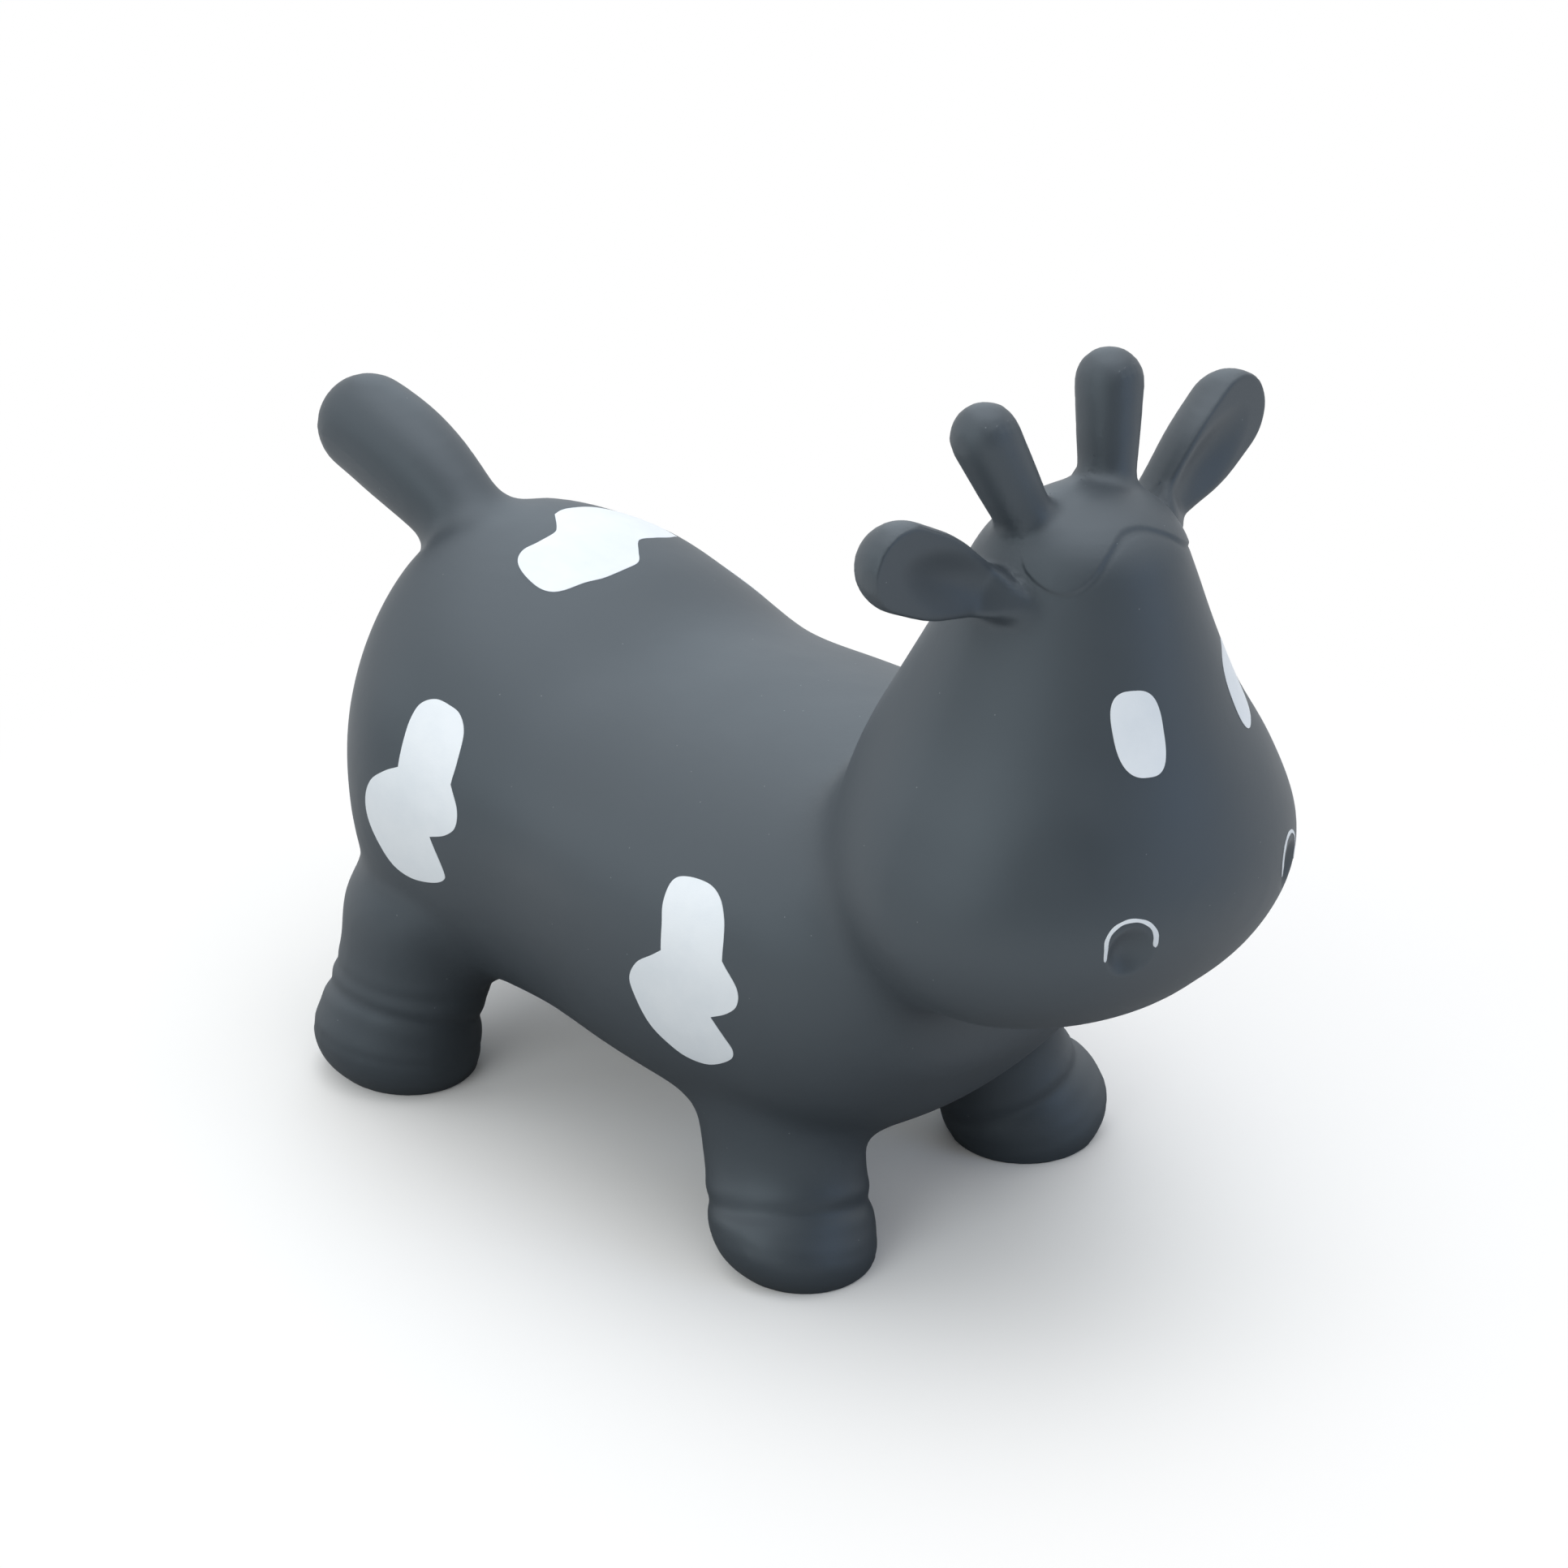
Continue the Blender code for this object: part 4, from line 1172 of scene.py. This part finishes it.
def extruded(mesh: BMesh, faces: Sequence[bmesh.types.BMFace], **settings: bool) -> list:
    """Extrudes faces and gives the new points.

    Args:
        mesh: the mesh to change.
        faces: the faces to extrude.
        settings: what else the operator is told.

    Returns:
        The new points, still in their old places.
    """
    new = bmesh.ops.extrude_face_region(mesh, geom=faces, **settings)["geom"]
    return [item for item in new if isinstance(item, bmesh.types.BMVert)]


@dataclass
class PaintMark:
    """A white mark sprayed on the skin through a mask."""

    node: str
    view: View
    centre: Vector
    outline: list[tuple[float, float]]
    # how far the film's face stands off the skin, and how far it is sunk into it
    film: float = 0.0002
    sunk: float = 0.0003
    # the mask's depth, the spare skin round the outline, and how squarely the skin faces the mask
    reach: float = 0.4
    margin: float = 0.006
    least_facing: float = 0.1

    def build(self, skin: BMesh) -> BMesh:
        """Cuts the film from a copy of the skin.

        Args:
            skin: the whole skin.

        Returns:
            A thin closed film.
        """
        line = np.array(self.outline)
        low, high = line.min(axis=0), line.max(axis=0)
        towards = np.array(self.view.towards)

        def owns(points: Array) -> Array:
            """Which faces lie about the outline, on the side that faces the viewer."""
            flat = self.view.flat(points, self.centre)
            inside = ((flat > low - self.margin) & (flat < high + self.margin)).all(axis=1)
            return inside & ((points - np.array(self.centre)) @ towards > 0)

        patch = skin.copy()
        lost = [face for face, hit in zip(patch.faces, owns(centres(patch)))
                if not hit or face.normal.dot(self.view.towards) < self.least_facing]
        bmesh.ops.delete(patch, geom=lost, context="FACES")
        shift(patch, normals(patch) * -self.sunk)
        for vert in extruded(patch, patch.faces[:], use_keep_orig=True):
            vert.co += vert.normal * (self.film + self.sunk)
        bmesh.ops.recalc_face_normals(patch, faces=patch.faces[:])
        return self.cut(patch)

    def cut(self, patch: BMesh) -> BMesh:
        """Keeps what lies within the outline.

        Args:
            patch: a closed film that is larger than the mark.

        Returns:
            The mark's film.
        """
        mask = bmesh.new()
        corners = (self.view.place(self.centre, u, v) for u, v in self.outline)
        face = mask.faces.new([mask.verts.new(corner) for corner in corners])
        bmesh.ops.translate(mask, verts=extruded(mask, [face]), vec=self.view.towards * self.reach)
        bmesh.ops.recalc_face_normals(mask, faces=mask.faces[:])
        cutter = link_mesh("mask", mask)
        film = modified(patch, ("BOOLEAN", {"operation": "INTERSECT", "object": cutter}))
        data = cutter.data
        bpy.data.objects.remove(cutter)
        bpy.data.meshes.remove(data)
        return film

    def dress(self, skin: BMesh, material: bpy.types.Material) -> None:
        """Makes the mark's piece.

        Args:
            skin: the whole skin.
            material: the paint.
        """
        piece = publish(self.node + "_paint", self.build(skin), material)
        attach(piece, "body")
        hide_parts(self.node)


@dataclass
class Markings:
    """All that is painted on the cow."""

    head: Head
    flank_height: float = 0.096
    back_width: float = 0.117
    eye_half_width: float = 0.0114
    eye_half_height: float = 0.0198
    eye_squareness: float = 0.70
    eye_points: int = 72
    # each eye's place out along the head's half width and up the head, and its tilt in degrees
    eyes: dict[Side, tuple[float, float, float]] = field(default_factory=lambda: {
        Side.RIGHT: (0.248, 0.645, 5), Side.LEFT: (0.386, 0.623, 14)})
    # the line arched over each nostril: its width, its radius, its rise, its outer and inner legs,
    # how much its width sways and from which angle, how much and how often it ripples, how blunt
    # its ends are, and its points
    nostril_line: float = 0.0019
    arch_radius: float = 0.0113
    arch_rise: float = 0.0060
    arch_legs: tuple[float, float] = (0.0089, 0.0054)
    arch_sway: tuple[float, float] = (0.25, 2)
    arch_ripple: tuple[float, float] = (0.08, 9)
    arch_bluntness: int = 16
    arch_points: int = 60
    # along the torso from the rump to the mark's middle, and down the lower height to its lower end
    flank_places: dict[End, tuple[float, float]] = field(default_factory=lambda: {
        End.FRONT: (0.7465, 0.421), End.REAR: (0.286, 0.255)})
    # forwards and up from the middle of the lower end, as shares of the height; 1 marks a corner
    flank_outlines: dict[End, tuple[tuple[float, ...], ...]] = field(default_factory=lambda: {
        End.REAR: (
            (-0.09, 0.985), (-0.155, 0.95), (-0.17, 0.875), (-0.16, 0.765), (-0.147, 0.64, 1),
            (-0.235, 0.59), (-0.33, 0.505), (-0.373, 0.385), (-0.355, 0.26), (-0.27, 0.125),
            (-0.175, 0.03), (-0.05, 0.00), (0.107, 0.035), (0.208, 0.09), (0.217, 0.155),
            (0.128, 0.333, 1), (0.237, 0.38), (0.304, 0.447), (0.30, 0.545), (0.22, 0.656, 1),
            (0.21, 0.765), (0.172, 0.885), (0.094, 0.955), (0.00, 0.98)),
        End.FRONT: (
            (-0.118, 0.993), (-0.198, 0.953), (-0.20, 0.855), (-0.16, 0.748), (-0.137, 0.625, 1),
            (-0.20, 0.573), (-0.31, 0.485), (-0.37, 0.37), (-0.343, 0.266), (-0.258, 0.117),
            (-0.146, 0.04), (-0.02, 0.00), (0.136, 0.02), (0.288, 0.115), (0.325, 0.19),
            (0.28, 0.266), (0.206, 0.362, 1), (0.312, 0.423), (0.375, 0.495), (0.37, 0.592),
            (0.265, 0.707, 1), (0.245, 0.812), (0.208, 0.90), (0.136, 0.972), (0.032, 1.005)),
    })
    # out along the torso's half width and along the torso, to the middle of the back's mark
    back_place: tuple[float, float] = (0.21, 0.233)
    # to the left and forwards from its middle, as shares of its width
    back_outline: tuple[tuple[float, ...], ...] = (
        (-0.047, -0.244, 1), (0.023, -0.268), (0.126, -0.275), (0.245, -0.273), (0.382, -0.236),
        (0.476, -0.146), (0.506, -0.022, 1), (0.40, 0.034), (0.285, 0.058), (0.194, 0.068),
        (0.147, 0.093), (0.083, 0.162), (0.02, 0.225), (-0.07, 0.244), (-0.208, 0.25),
        (-0.312, 0.229), (-0.425, 0.209), (-0.481, 0.172), (-0.50, 0.108), (-0.486, 0.008),
        (-0.447, -0.063), (-0.379, -0.099), (-0.289, -0.099), (-0.178, -0.112), (-0.127, -0.148),
    )

    def flank_mark(self, end: End, side: Side) -> PaintMark:
        """The mark on one flank, over a front or a rear leg."""
        torso = self.head.torso
        along, down = self.flank_places[end]
        centre = torso.point(along, z=torso.middle - down * torso.lower_height)
        outline = scaled(traced(self.flank_outlines[end]), self.flank_height)
        view = View.LEFT if side is Side.LEFT else View.RIGHT
        return PaintMark(f"{end.value}_{side.word}_mark", view, centre, outline)

    def back_mark(self) -> PaintMark:
        """The mark that lies across the back."""
        torso = self.head.torso
        out, along = self.back_place
        centre = torso.point(along, out * torso.half_width, torso.middle)
        outline = scaled(traced(self.back_outline), self.back_width)
        return PaintMark("back_mark", View.TOP, centre, outline)

    def eye(self, side: Side) -> PaintMark:
        """A squared-off oval eye."""
        out, up, tilt = self.eyes[side]
        centre = self.head.point(out, 0, up, side)
        lean = math.radians(-side.value * tilt)
        outline = []
        for step in range(self.eye_points):
            angle = math.tau * step / self.eye_points
            across, high = math.cos(angle), math.sin(angle)
            across = math.copysign(abs(across) ** self.eye_squareness, across) * self.eye_half_width
            high = math.copysign(abs(high) ** self.eye_squareness, high) * self.eye_half_height
            outline.append((across * math.cos(lean) + high * math.sin(lean),
                            high * math.cos(lean) - across * math.sin(lean)))
        return PaintMark(f"{side.word}_eye", View.FRONT, centre, outline)

    def nostril_mark(self, side: Side) -> PaintMark:
        """The line arched over a nostril, its ends rounded and its stroke uneven."""
        centre = self.head.nostril_place(side)
        bend = math.pi * self.arch_radius
        outer_leg, inner_leg = self.arch_legs
        length = outer_leg + bend + inner_leg
        (sway, turn), (ripple, ripples) = self.arch_sway, self.arch_ripple
        inner, outer = [], []
        for step in range(self.arch_points + 1):
            along = length * step / self.arch_points
            angle = min(max((along - outer_leg) / self.arch_radius, 0), math.pi)
            below = max(outer_leg - along, along - outer_leg - bend, 0)
            end = math.sqrt(max(0.0, 1 - abs(2 * along / length - 1) ** self.arch_bluntness))
            uneven = 1 + sway * math.sin(angle - turn) + ripple * math.sin(ripples * angle)
            half = self.nostril_line * end * uneven / 2
            for line, reach in ((inner, self.arch_radius - half), (outer, self.arch_radius + half)):
                line.append((side.value * reach * math.cos(angle),
                             self.arch_rise + reach * math.sin(angle) - below))
        outline = outer[1:-1] + inner[::-1]
        return PaintMark(f"{side.word}_nostril_line", View.FRONT, centre, outline, film=0.0003)

    def dress(self, skin: BMesh, material: bpy.types.Material) -> None:
        """Makes all the marks.

        Args:
            skin: the whole skin.
            material: the paint.
        """
        marks = [self.back_mark()]
        marks += [self.flank_mark(end, side) for end in End for side in Side]
        marks += [self.eye(side) for side in Side] + [self.nostril_mark(side) for side in Side]
        for mark in marks:
            mark.dress(skin, material)


@dataclass
class Valve:
    """The air valve under the belly: a flanged seat and its push-in plug."""

    bore_radius: float = 0.0040
    tube_wall: float = 0.0016
    tube_length: float = 0.014
    flange_radius: float = 0.0110
    flange: float = 0.0014
    clearance: float = 0.0003
    stem_length: float = 0.0130
    head_radius: float = 0.0085
    head: float = 0.0020
    # the dimple in the plug's head: its radius over the head's, and its depths at the middle and at
    # its edge, as shares of the head's thickness that are left
    dimple_share: float = 0.6
    dimple_depths: tuple[float, float] = (0.5, 0.6)
    # the rounding of the rims, and the least angle in degrees of an edge that is rounded
    lip_round: float = 0.0005
    lip_segments: int = 3
    rim_angle: float = 60
    sides: int = 64

    def turned(self, profile: Sequence[tuple[float, float]], centre: Vector) -> BMesh:
        """Turns a profile about the upright axis.

        Args:
            profile: (radius, height) points of the closed outline.
            centre: where the height is 0.

        Returns:
            The turned form with its rims rounded.
        """
        mesh = bmesh.new()
        verts = [mesh.verts.new((radius, 0, height)) for radius, height in profile]
        edges = [mesh.edges.new((verts[i - 1], verts[i])) for i in range(len(verts))]
        bmesh.ops.spin(mesh, geom=verts + edges, cent=(0, 0, 0), axis=Z_AXIS, angle=math.tau,
                       steps=self.sides, use_merge=True)
        bmesh.ops.remove_doubles(mesh, verts=mesh.verts, dist=MERGE_DISTANCE)
        bmesh.ops.recalc_face_normals(mesh, faces=mesh.faces[:])
        rims = [edge for edge in mesh.edges
                if edge.is_manifold and edge.calc_face_angle() > math.radians(self.rim_angle)]
        bmesh.ops.bevel(mesh, geom=rims, offset=self.lip_round, segments=self.lip_segments,
                        profile=0.5, affect="EDGES", material=-1)
        bmesh.ops.translate(mesh, verts=mesh.verts, vec=centre)
        return mesh

    def dress(self, seat_finish: bpy.types.Material, plug_finish: bpy.types.Material) -> None:
        """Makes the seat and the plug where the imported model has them.

        Args:
            seat_finish: the seat's material.
            plug_finish: the plug's material.
        """
        low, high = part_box("valve_seat")
        centre = Vector(((low.x + high.x) / 2, (low.y + high.y) / 2, low.z + self.flange))
        bore, tube = self.bore_radius, self.bore_radius + self.tube_wall
        seat = self.turned((
            (bore, -self.flange), (self.flange_radius, -self.flange), (self.flange_radius, 0),
            (tube, 0), (tube, self.tube_length), (bore, self.tube_length)), centre)
        piece = publish("valve_seat_moulding", seat, seat_finish)
        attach(piece, "body")
        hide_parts("valve_seat")
        stem, top = bore - self.clearance, -self.flange - self.clearance
        face, end = top - self.head, top + self.stem_length
        dimple = self.dimple_share * self.head_radius
        middle, edge = (top - share * self.head for share in self.dimple_depths)
        plug = self.turned((
            (0, middle), (dimple, edge), (dimple + self.head, face), (self.head_radius, face),
            (self.head_radius, top), (stem, top), (stem, end), (0, end)), centre)
        piece = publish("valve_plug_moulding", plug, plug_finish)
        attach(piece, "plug_body")
        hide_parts("valve_plug")


def linear(code: str) -> tuple[float, float, float, float]:
    """Turns an sRGB hex colour into the linear one that a shader takes.

    Args:
        code: six hex digits.

    Returns:
        Red, green, blue and alpha.
    """
    parts = [int(code[i:i + 2], 16) / 255 for i in (0, 2, 4)]
    red, green, blue = (p / 12.92 if p <= 0.04045 else ((p + 0.055) / 1.055) ** 2.4 for p in parts)
    return red, green, blue, 1


def add_node(tree: bpy.types.NodeTree, kind: str, inputs: dict | None = None,
             **settings: object) -> bpy.types.Node:
    """Adds a shader node with its settings and links.

    Args:
        tree: the tree to add it to.
        kind: the node's type, less the word ShaderNode.
        inputs: for each input, by name or number, a value, an output to link to it, or a node whose
            first output in use is linked to it.
        settings: the node's own properties.

    Returns:
        The node.
    """
    node = tree.nodes.new("ShaderNode" + kind)
    for key, value in settings.items():
        setattr(node, key, value)
    for key, value in (inputs or {}).items():
        if isinstance(value, bpy.types.Node):
            value = next(socket for socket in value.outputs if socket.enabled)
        if isinstance(value, bpy.types.NodeSocket):
            tree.links.new(value, node.inputs[key])
        else:
            node.inputs[key].default_value = value
    return node


def per_metre(size: float) -> float:
    """The scale of a texture whose features are that many metres wide."""
    return 1 / size


def new_tree(name: str) -> tuple[bpy.types.Material, bpy.types.NodeTree]:
    """A new node material and its emptied tree."""
    material = bpy.data.materials.new(name)
    material.use_nodes = True
    material.node_tree.nodes.clear()
    return material, material.node_tree


@dataclass(frozen=True)
class Finish:
    """What a piece is made of: a principled shader with patterns in the piece's own coordinates."""

    name: str = "finish"

    def surface(self, tree: bpy.types.NodeTree, spot: bpy.types.NodeSocket) -> dict:
        """The inputs of the principled shader, from nodes that it adds to the tree."""
        raise NotImplementedError

    def material(self) -> bpy.types.Material:
        """The node material of the finish."""
        material, tree = new_tree(self.name)
        spot = add_node(tree, "TexCoord").outputs["Object"]
        shader = add_node(tree, "BsdfPrincipled", self.surface(tree, spot))
        add_node(tree, "OutputMaterial", {"Surface": shader})
        return material


@dataclass(frozen=True)
class MouldedSkin(Finish):
    """Rotationally moulded soft PVC: it takes the blasted face of its mould, matt and cloudy."""

    name: str = "rotomoulded_soft_PVC"
    colour: str = "353C42"
    cloud_colour: str = "31383E"
    dust_colour: str = "9AA1A6"
    # the haze on its matt face is a little bluish
    haze_colour: str = "EAF6FF"
    ior: float = 1.5
    roughness: float = 0.54
    # how much smoother and rougher it is in the clouds
    smoother: float = 0.03
    rougher: float = 0.04
    sheen_level: float = 1.0
    # a slow change of tone across the skin, the faint orange peel and the blasted grain, which is
    # drawn three times as coarse as the real one so that it shows
    cloud: float = 0.070
    peel: float = 0.014
    peel_depth: float = 0.00012
    grain: float = 0.0010
    grain_depth: float = 0.000035
    # grains of dust that cling to the soft skin: how far apart, how large and how strong
    dust_spacing: float = 0.012
    dust_share: float = 0.028
    dust_strength: float = 0.35

    def surface(self, tree: bpy.types.NodeTree, spot: bpy.types.NodeSocket) -> dict:
        """A cloudy, faintly dusty and grained face.

        Args:
            tree: the material's tree.
            spot: the place on the piece.

        Returns:
            The inputs of the principled shader.
        """
        cloud = add_node(tree, "TexNoise", {
            "Vector": spot, "Scale": per_metre(self.cloud), "Detail": 3, "Roughness": 0.5})
        tone = add_node(tree, "MapRange", {"Value": cloud, "From Min": 0.35, "From Max": 0.65})
        body = add_node(tree, "Mix", {
            "Factor": tone, "A": linear(self.cloud_colour), "B": linear(self.colour)},
            data_type="RGBA")
        speck = add_node(tree, "TexVoronoi", {
            "Vector": spot, "Scale": per_metre(self.dust_spacing)})
        dusty = add_node(tree, "Math", {0: speck, 1: self.dust_share}, operation="LESS_THAN")
        faint = add_node(tree, "Math", {0: dusty, 1: self.dust_strength}, operation="MULTIPLY")
        colour = add_node(tree, "Mix", {
            "Factor": faint, "A": body, "B": linear(self.dust_colour)}, data_type="RGBA")
        worn = add_node(tree, "MapRange", {
            "Value": cloud, "From Min": 0.3, "From Max": 0.7,
            "To Min": self.roughness - self.smoother, "To Max": self.roughness + self.rougher})
        peel = add_node(tree, "TexNoise", {
            "Vector": spot, "Scale": per_metre(self.peel), "Detail": 2})
        waved = add_node(tree, "Bump", {"Height": peel, "Distance": self.peel_depth})
        grain = add_node(tree, "TexNoise", {
            "Vector": spot, "Scale": per_metre(self.grain), "Detail": 2})
        grained = add_node(tree, "Bump", {
            "Height": grain, "Distance": self.grain_depth, "Normal": waved})
        return {"Base Color": colour, "Roughness": worn, "IOR": self.ior,
                "Specular IOR Level": self.sheen_level,
                "Specular Tint": linear(self.haze_colour), "Normal": grained}


@dataclass(frozen=True)
class SprayedPaint(Finish):
    """White vinyl paint sprayed through a mask: a thin, faintly cloudy coat with fine grit."""

    name: str = "sprayed_white_vinyl_paint"
    colour: str = "E9EEF2"
    thin_colour: str = "E3E9EE"
    roughness: float = 0.47
    cloud: float = 0.030
    grit: float = 0.0008
    grit_depth: float = 0.00004

    def surface(self, tree: bpy.types.NodeTree, spot: bpy.types.NodeSocket) -> dict:
        """A faintly cloudy and gritty coat.

        Args:
            tree: the material's tree.
            spot: the place on the piece.

        Returns:
            The inputs of the principled shader.
        """
        cloud = add_node(tree, "TexNoise", {
            "Vector": spot, "Scale": per_metre(self.cloud), "Detail": 4, "Roughness": 0.6})
        tone = add_node(tree, "MapRange", {"Value": cloud, "From Min": 0.32, "From Max": 0.62})
        colour = add_node(tree, "Mix", {
            "Factor": tone, "A": linear(self.thin_colour), "B": linear(self.colour)},
            data_type="RGBA")
        grit = add_node(tree, "TexNoise", {
            "Vector": spot, "Scale": per_metre(self.grit), "Detail": 2})
        rough = add_node(tree, "Bump", {"Height": grit, "Distance": self.grit_depth})
        return {"Base Color": colour, "Roughness": self.roughness, "Normal": rough}


@dataclass(frozen=True)
class PlugPlastic(Finish):
    """Injection-moulded low-density polyethylene: waxy and slightly milky."""

    name: str = "moulded_polyethylene"
    colour: str = "E3E3E0"
    roughness: float = 0.38
    # how much smoother and rougher scuffs make it
    smoother: float = 0.05
    rougher: float = 0.12
    scuff: float = 0.004
    milkiness: float = 0.15
    milk_depth: float = 0.002

    def surface(self, tree: bpy.types.NodeTree, spot: bpy.types.NodeSocket) -> dict:
        """A milky face with faint scuffs.

        Args:
            tree: the material's tree.
            spot: the place on the piece.

        Returns:
            The inputs of the principled shader.
        """
        scuff = add_node(tree, "TexNoise", {
            "Vector": spot, "Scale": per_metre(self.scuff), "Detail": 3})
        worn = add_node(tree, "MapRange", {
            "Value": scuff,
            "To Min": self.roughness - self.smoother, "To Max": self.roughness + self.rougher})
        return {"Base Color": linear(self.colour), "Roughness": worn,
                "Subsurface Weight": self.milkiness, "Subsurface Scale": self.milk_depth}


@dataclass(frozen=True)
class Softbox:
    """A square soft lamp that faces the cow: its place, its side, its power in watts, its tint."""

    name: str
    place: tuple[float, float, float]
    size: float
    power: float
    tint: str


@dataclass
class Studio:
    """The white sweep, the soft lamps and the camera."""

    camera_place: tuple[float, float, float] = (-1.7743, -1.7553, 1.5785)
    camera_aim: tuple[float, float, float] = (0.0, -0.0201, 0.2029)
    lens: float = 127.4
    sensor: float = 36.0
    room_light: float = 0.76
    room_colour: str = "FDFEFF"
    white: str = "FFFFFF"
    floor_half: float = 8.0
    floor_drop: float = 0.0002
    # the floor as the eye sees it, and as gloss and the light that it throws back see it
    floor_colour: str = "F9F8F6"
    floor_bounce: str = "8C8C8C"
    # the floor keeps its shading up to the first distance and is plain white past the second
    shadow_near: float = 0.15
    shadow_far: float = 0.64
    # the way from the camera's side to the white sweep, which gloss sees only behind and above:
    # where it starts and ends along that way, and how bright the camera's side is
    sweep: tuple[float, float, float] = (0.50, 0.50, 0.71)
    sweep_start: float = -0.15
    sweep_end: float = 0.45
    sweep_least: float = 0.03
    softboxes: tuple[Softbox, ...] = (
        Softbox("overhead_softbox", (0.30, 0.20, 2.3), 2.2, 18.5, "FAFBFF"),
        Softbox("side_softbox", (-2.6, -0.2, 1.5), 1.6, 19, "F5FDFF"),
        Softbox("rump_fill", (-1.8, 1.8, 1.3), 1.4, 5, "F0FAFF"),
        Softbox("sweep_light", (1.7, 1.7, 1.5), 1.6, 9, "E0F2FF"),
        Softbox("cool_fill", (0.9, -2.6, 1.1), 1.4, 9, "B4D4FF"),
    )

    def hang(self, name: str, data: bpy.types.ID, place: Sequence[float]) -> bpy.types.Object:
        """Puts up a camera or a lamp that faces the cow.

        Args:
            name: its name.
            data: the camera or the lamp.
            place: where it stands or hangs.

        Returns:
            Its object.
        """
        thing = bpy.data.objects.new(name, data)
        thing.location = place
        gaze = Vector(self.camera_aim) - Vector(place)
        thing.rotation_mode = "QUATERNION"
        thing.rotation_quaternion = gaze.to_track_quat("-Z", "Y")
        bpy.context.scene.collection.objects.link(thing)
        return thing

    def camera(self) -> None:
        """Sets the camera at the photograph's viewpoint."""
        data = bpy.data.cameras.new("camera")
        data.lens, data.sensor_width = self.lens, self.sensor
        bpy.context.scene.camera = self.hang("camera", data, self.camera_place)

    def lamps(self) -> None:
        """Hangs the soft lamps."""
        for box in self.softboxes:
            data = bpy.data.lights.new(box.name, "AREA")
            data.size, data.energy = box.size, box.power
            data.color = linear(box.tint)[:3]
            self.hang(box.name, data, box.place)

    def white_where_seen(self, tree: bpy.types.NodeTree) -> bpy.types.Node:
        """A node that gives 1 to rays that see the backdrop, by eye, gloss or clear parts."""
        rays = add_node(tree, "LightPath").outputs
        gloss = add_node(tree, "Math", {
            0: rays["Is Camera Ray"], 1: rays["Is Glossy Ray"]}, operation="MAXIMUM")
        return add_node(tree, "Math", {
            0: gloss, 1: rays["Is Transmission Ray"]}, operation="MAXIMUM")

    def world(self) -> None:
        """A pale room that the eye sees as white and gloss sees as dark on the camera's side."""
        world = bpy.data.worlds.new("white_room")
        bpy.context.scene.world = world
        world.use_nodes = True
        tree = world.node_tree
        tree.nodes.clear()
        way = add_node(tree, "TexCoord").outputs["Generated"]
        back = add_node(tree, "VectorMath", {0: way, 1: self.sweep}, operation="DOT_PRODUCT")
        bright = add_node(tree, "MapRange", {
            "Value": back, "From Min": self.sweep_start, "From Max": self.sweep_end,
            "To Min": self.sweep_least}, interpolation_type="SMOOTHSTEP")
        eye = add_node(tree, "LightPath").outputs["Is Camera Ray"]
        level = add_node(tree, "Math", {0: bright, 1: eye}, operation="MAXIMUM")
        lit = add_node(tree, "Background", {
            "Color": linear(self.room_colour), "Strength": self.room_light})
        white = add_node(tree, "Background", {"Color": linear(self.white), "Strength": level})
        mix = add_node(tree, "MixShader", {0: self.white_where_seen(tree), 1: lit, 2: white})
        add_node(tree, "OutputWorld", {"Surface": mix})

    def floor(self) -> None:
        """A matt white floor that keeps the cow's shadow and turns plain white away from it."""
        mesh = bmesh.new()
        bmesh.ops.create_grid(mesh, x_segments=2, y_segments=2, size=self.floor_half)
        bmesh.ops.translate(mesh, verts=mesh.verts, vec=Z_AXIS * -self.floor_drop)
        material, tree = new_tree("matt_white_sweep")
        spot = add_node(tree, "TexCoord").outputs["Object"]
        far = add_node(tree, "VectorMath", {0: spot}, operation="LENGTH")
        fade = add_node(tree, "MapRange", {
            "Value": far, "From Min": self.shadow_near, "From Max": self.shadow_far},
            interpolation_type="SMOOTHSTEP")
        matt = add_node(tree, "BsdfDiffuse", {"Color": linear(self.floor_bounce)})
        seen = add_node(tree, "BsdfDiffuse", {"Color": linear(self.floor_colour)})
        white = add_node(tree, "Emission", {"Color": linear(self.white), "Strength": 1.0})
        eye = add_node(tree, "LightPath").outputs["Is Camera Ray"]
        near = add_node(tree, "MixShader", {0: eye, 1: matt, 2: seen})
        lifted = add_node(tree, "Math", {
            0: fade, 1: self.white_where_seen(tree)}, operation="MULTIPLY")
        mix = add_node(tree, "MixShader", {0: lifted, 1: near, 2: white})
        add_node(tree, "OutputMaterial", {"Surface": mix})
        floor = link_mesh("floor", mesh)
        floor.data.materials.append(material)

    def build(self) -> None:
        """Sets up the whole studio."""
        bpy.context.scene.view_settings.view_transform = "Standard"
        self.camera()
        self.world()
        self.floor()
        self.lamps()


def main() -> None:
    """Builds the cow in its studio."""
    logging.basicConfig(level=logging.INFO, format="%(message)s")
    head = Head(Torso())
    legs = [Leg(head.torso, end, side) for end in End for side in Side]
    crown = [limb(head, side) for side in Side for limb in (Horn, Ear)]
    skin = Skin(head, legs, Tail(head), crown)
    mesh = skin.form()
    material = MouldedSkin().material()
    Markings(head).dress(mesh, SprayedPaint().material())
    skin.dress(mesh, material)
    Valve().dress(material, PlugPlastic().material())
    Studio().build()


if __name__ == "__main__":
    main()
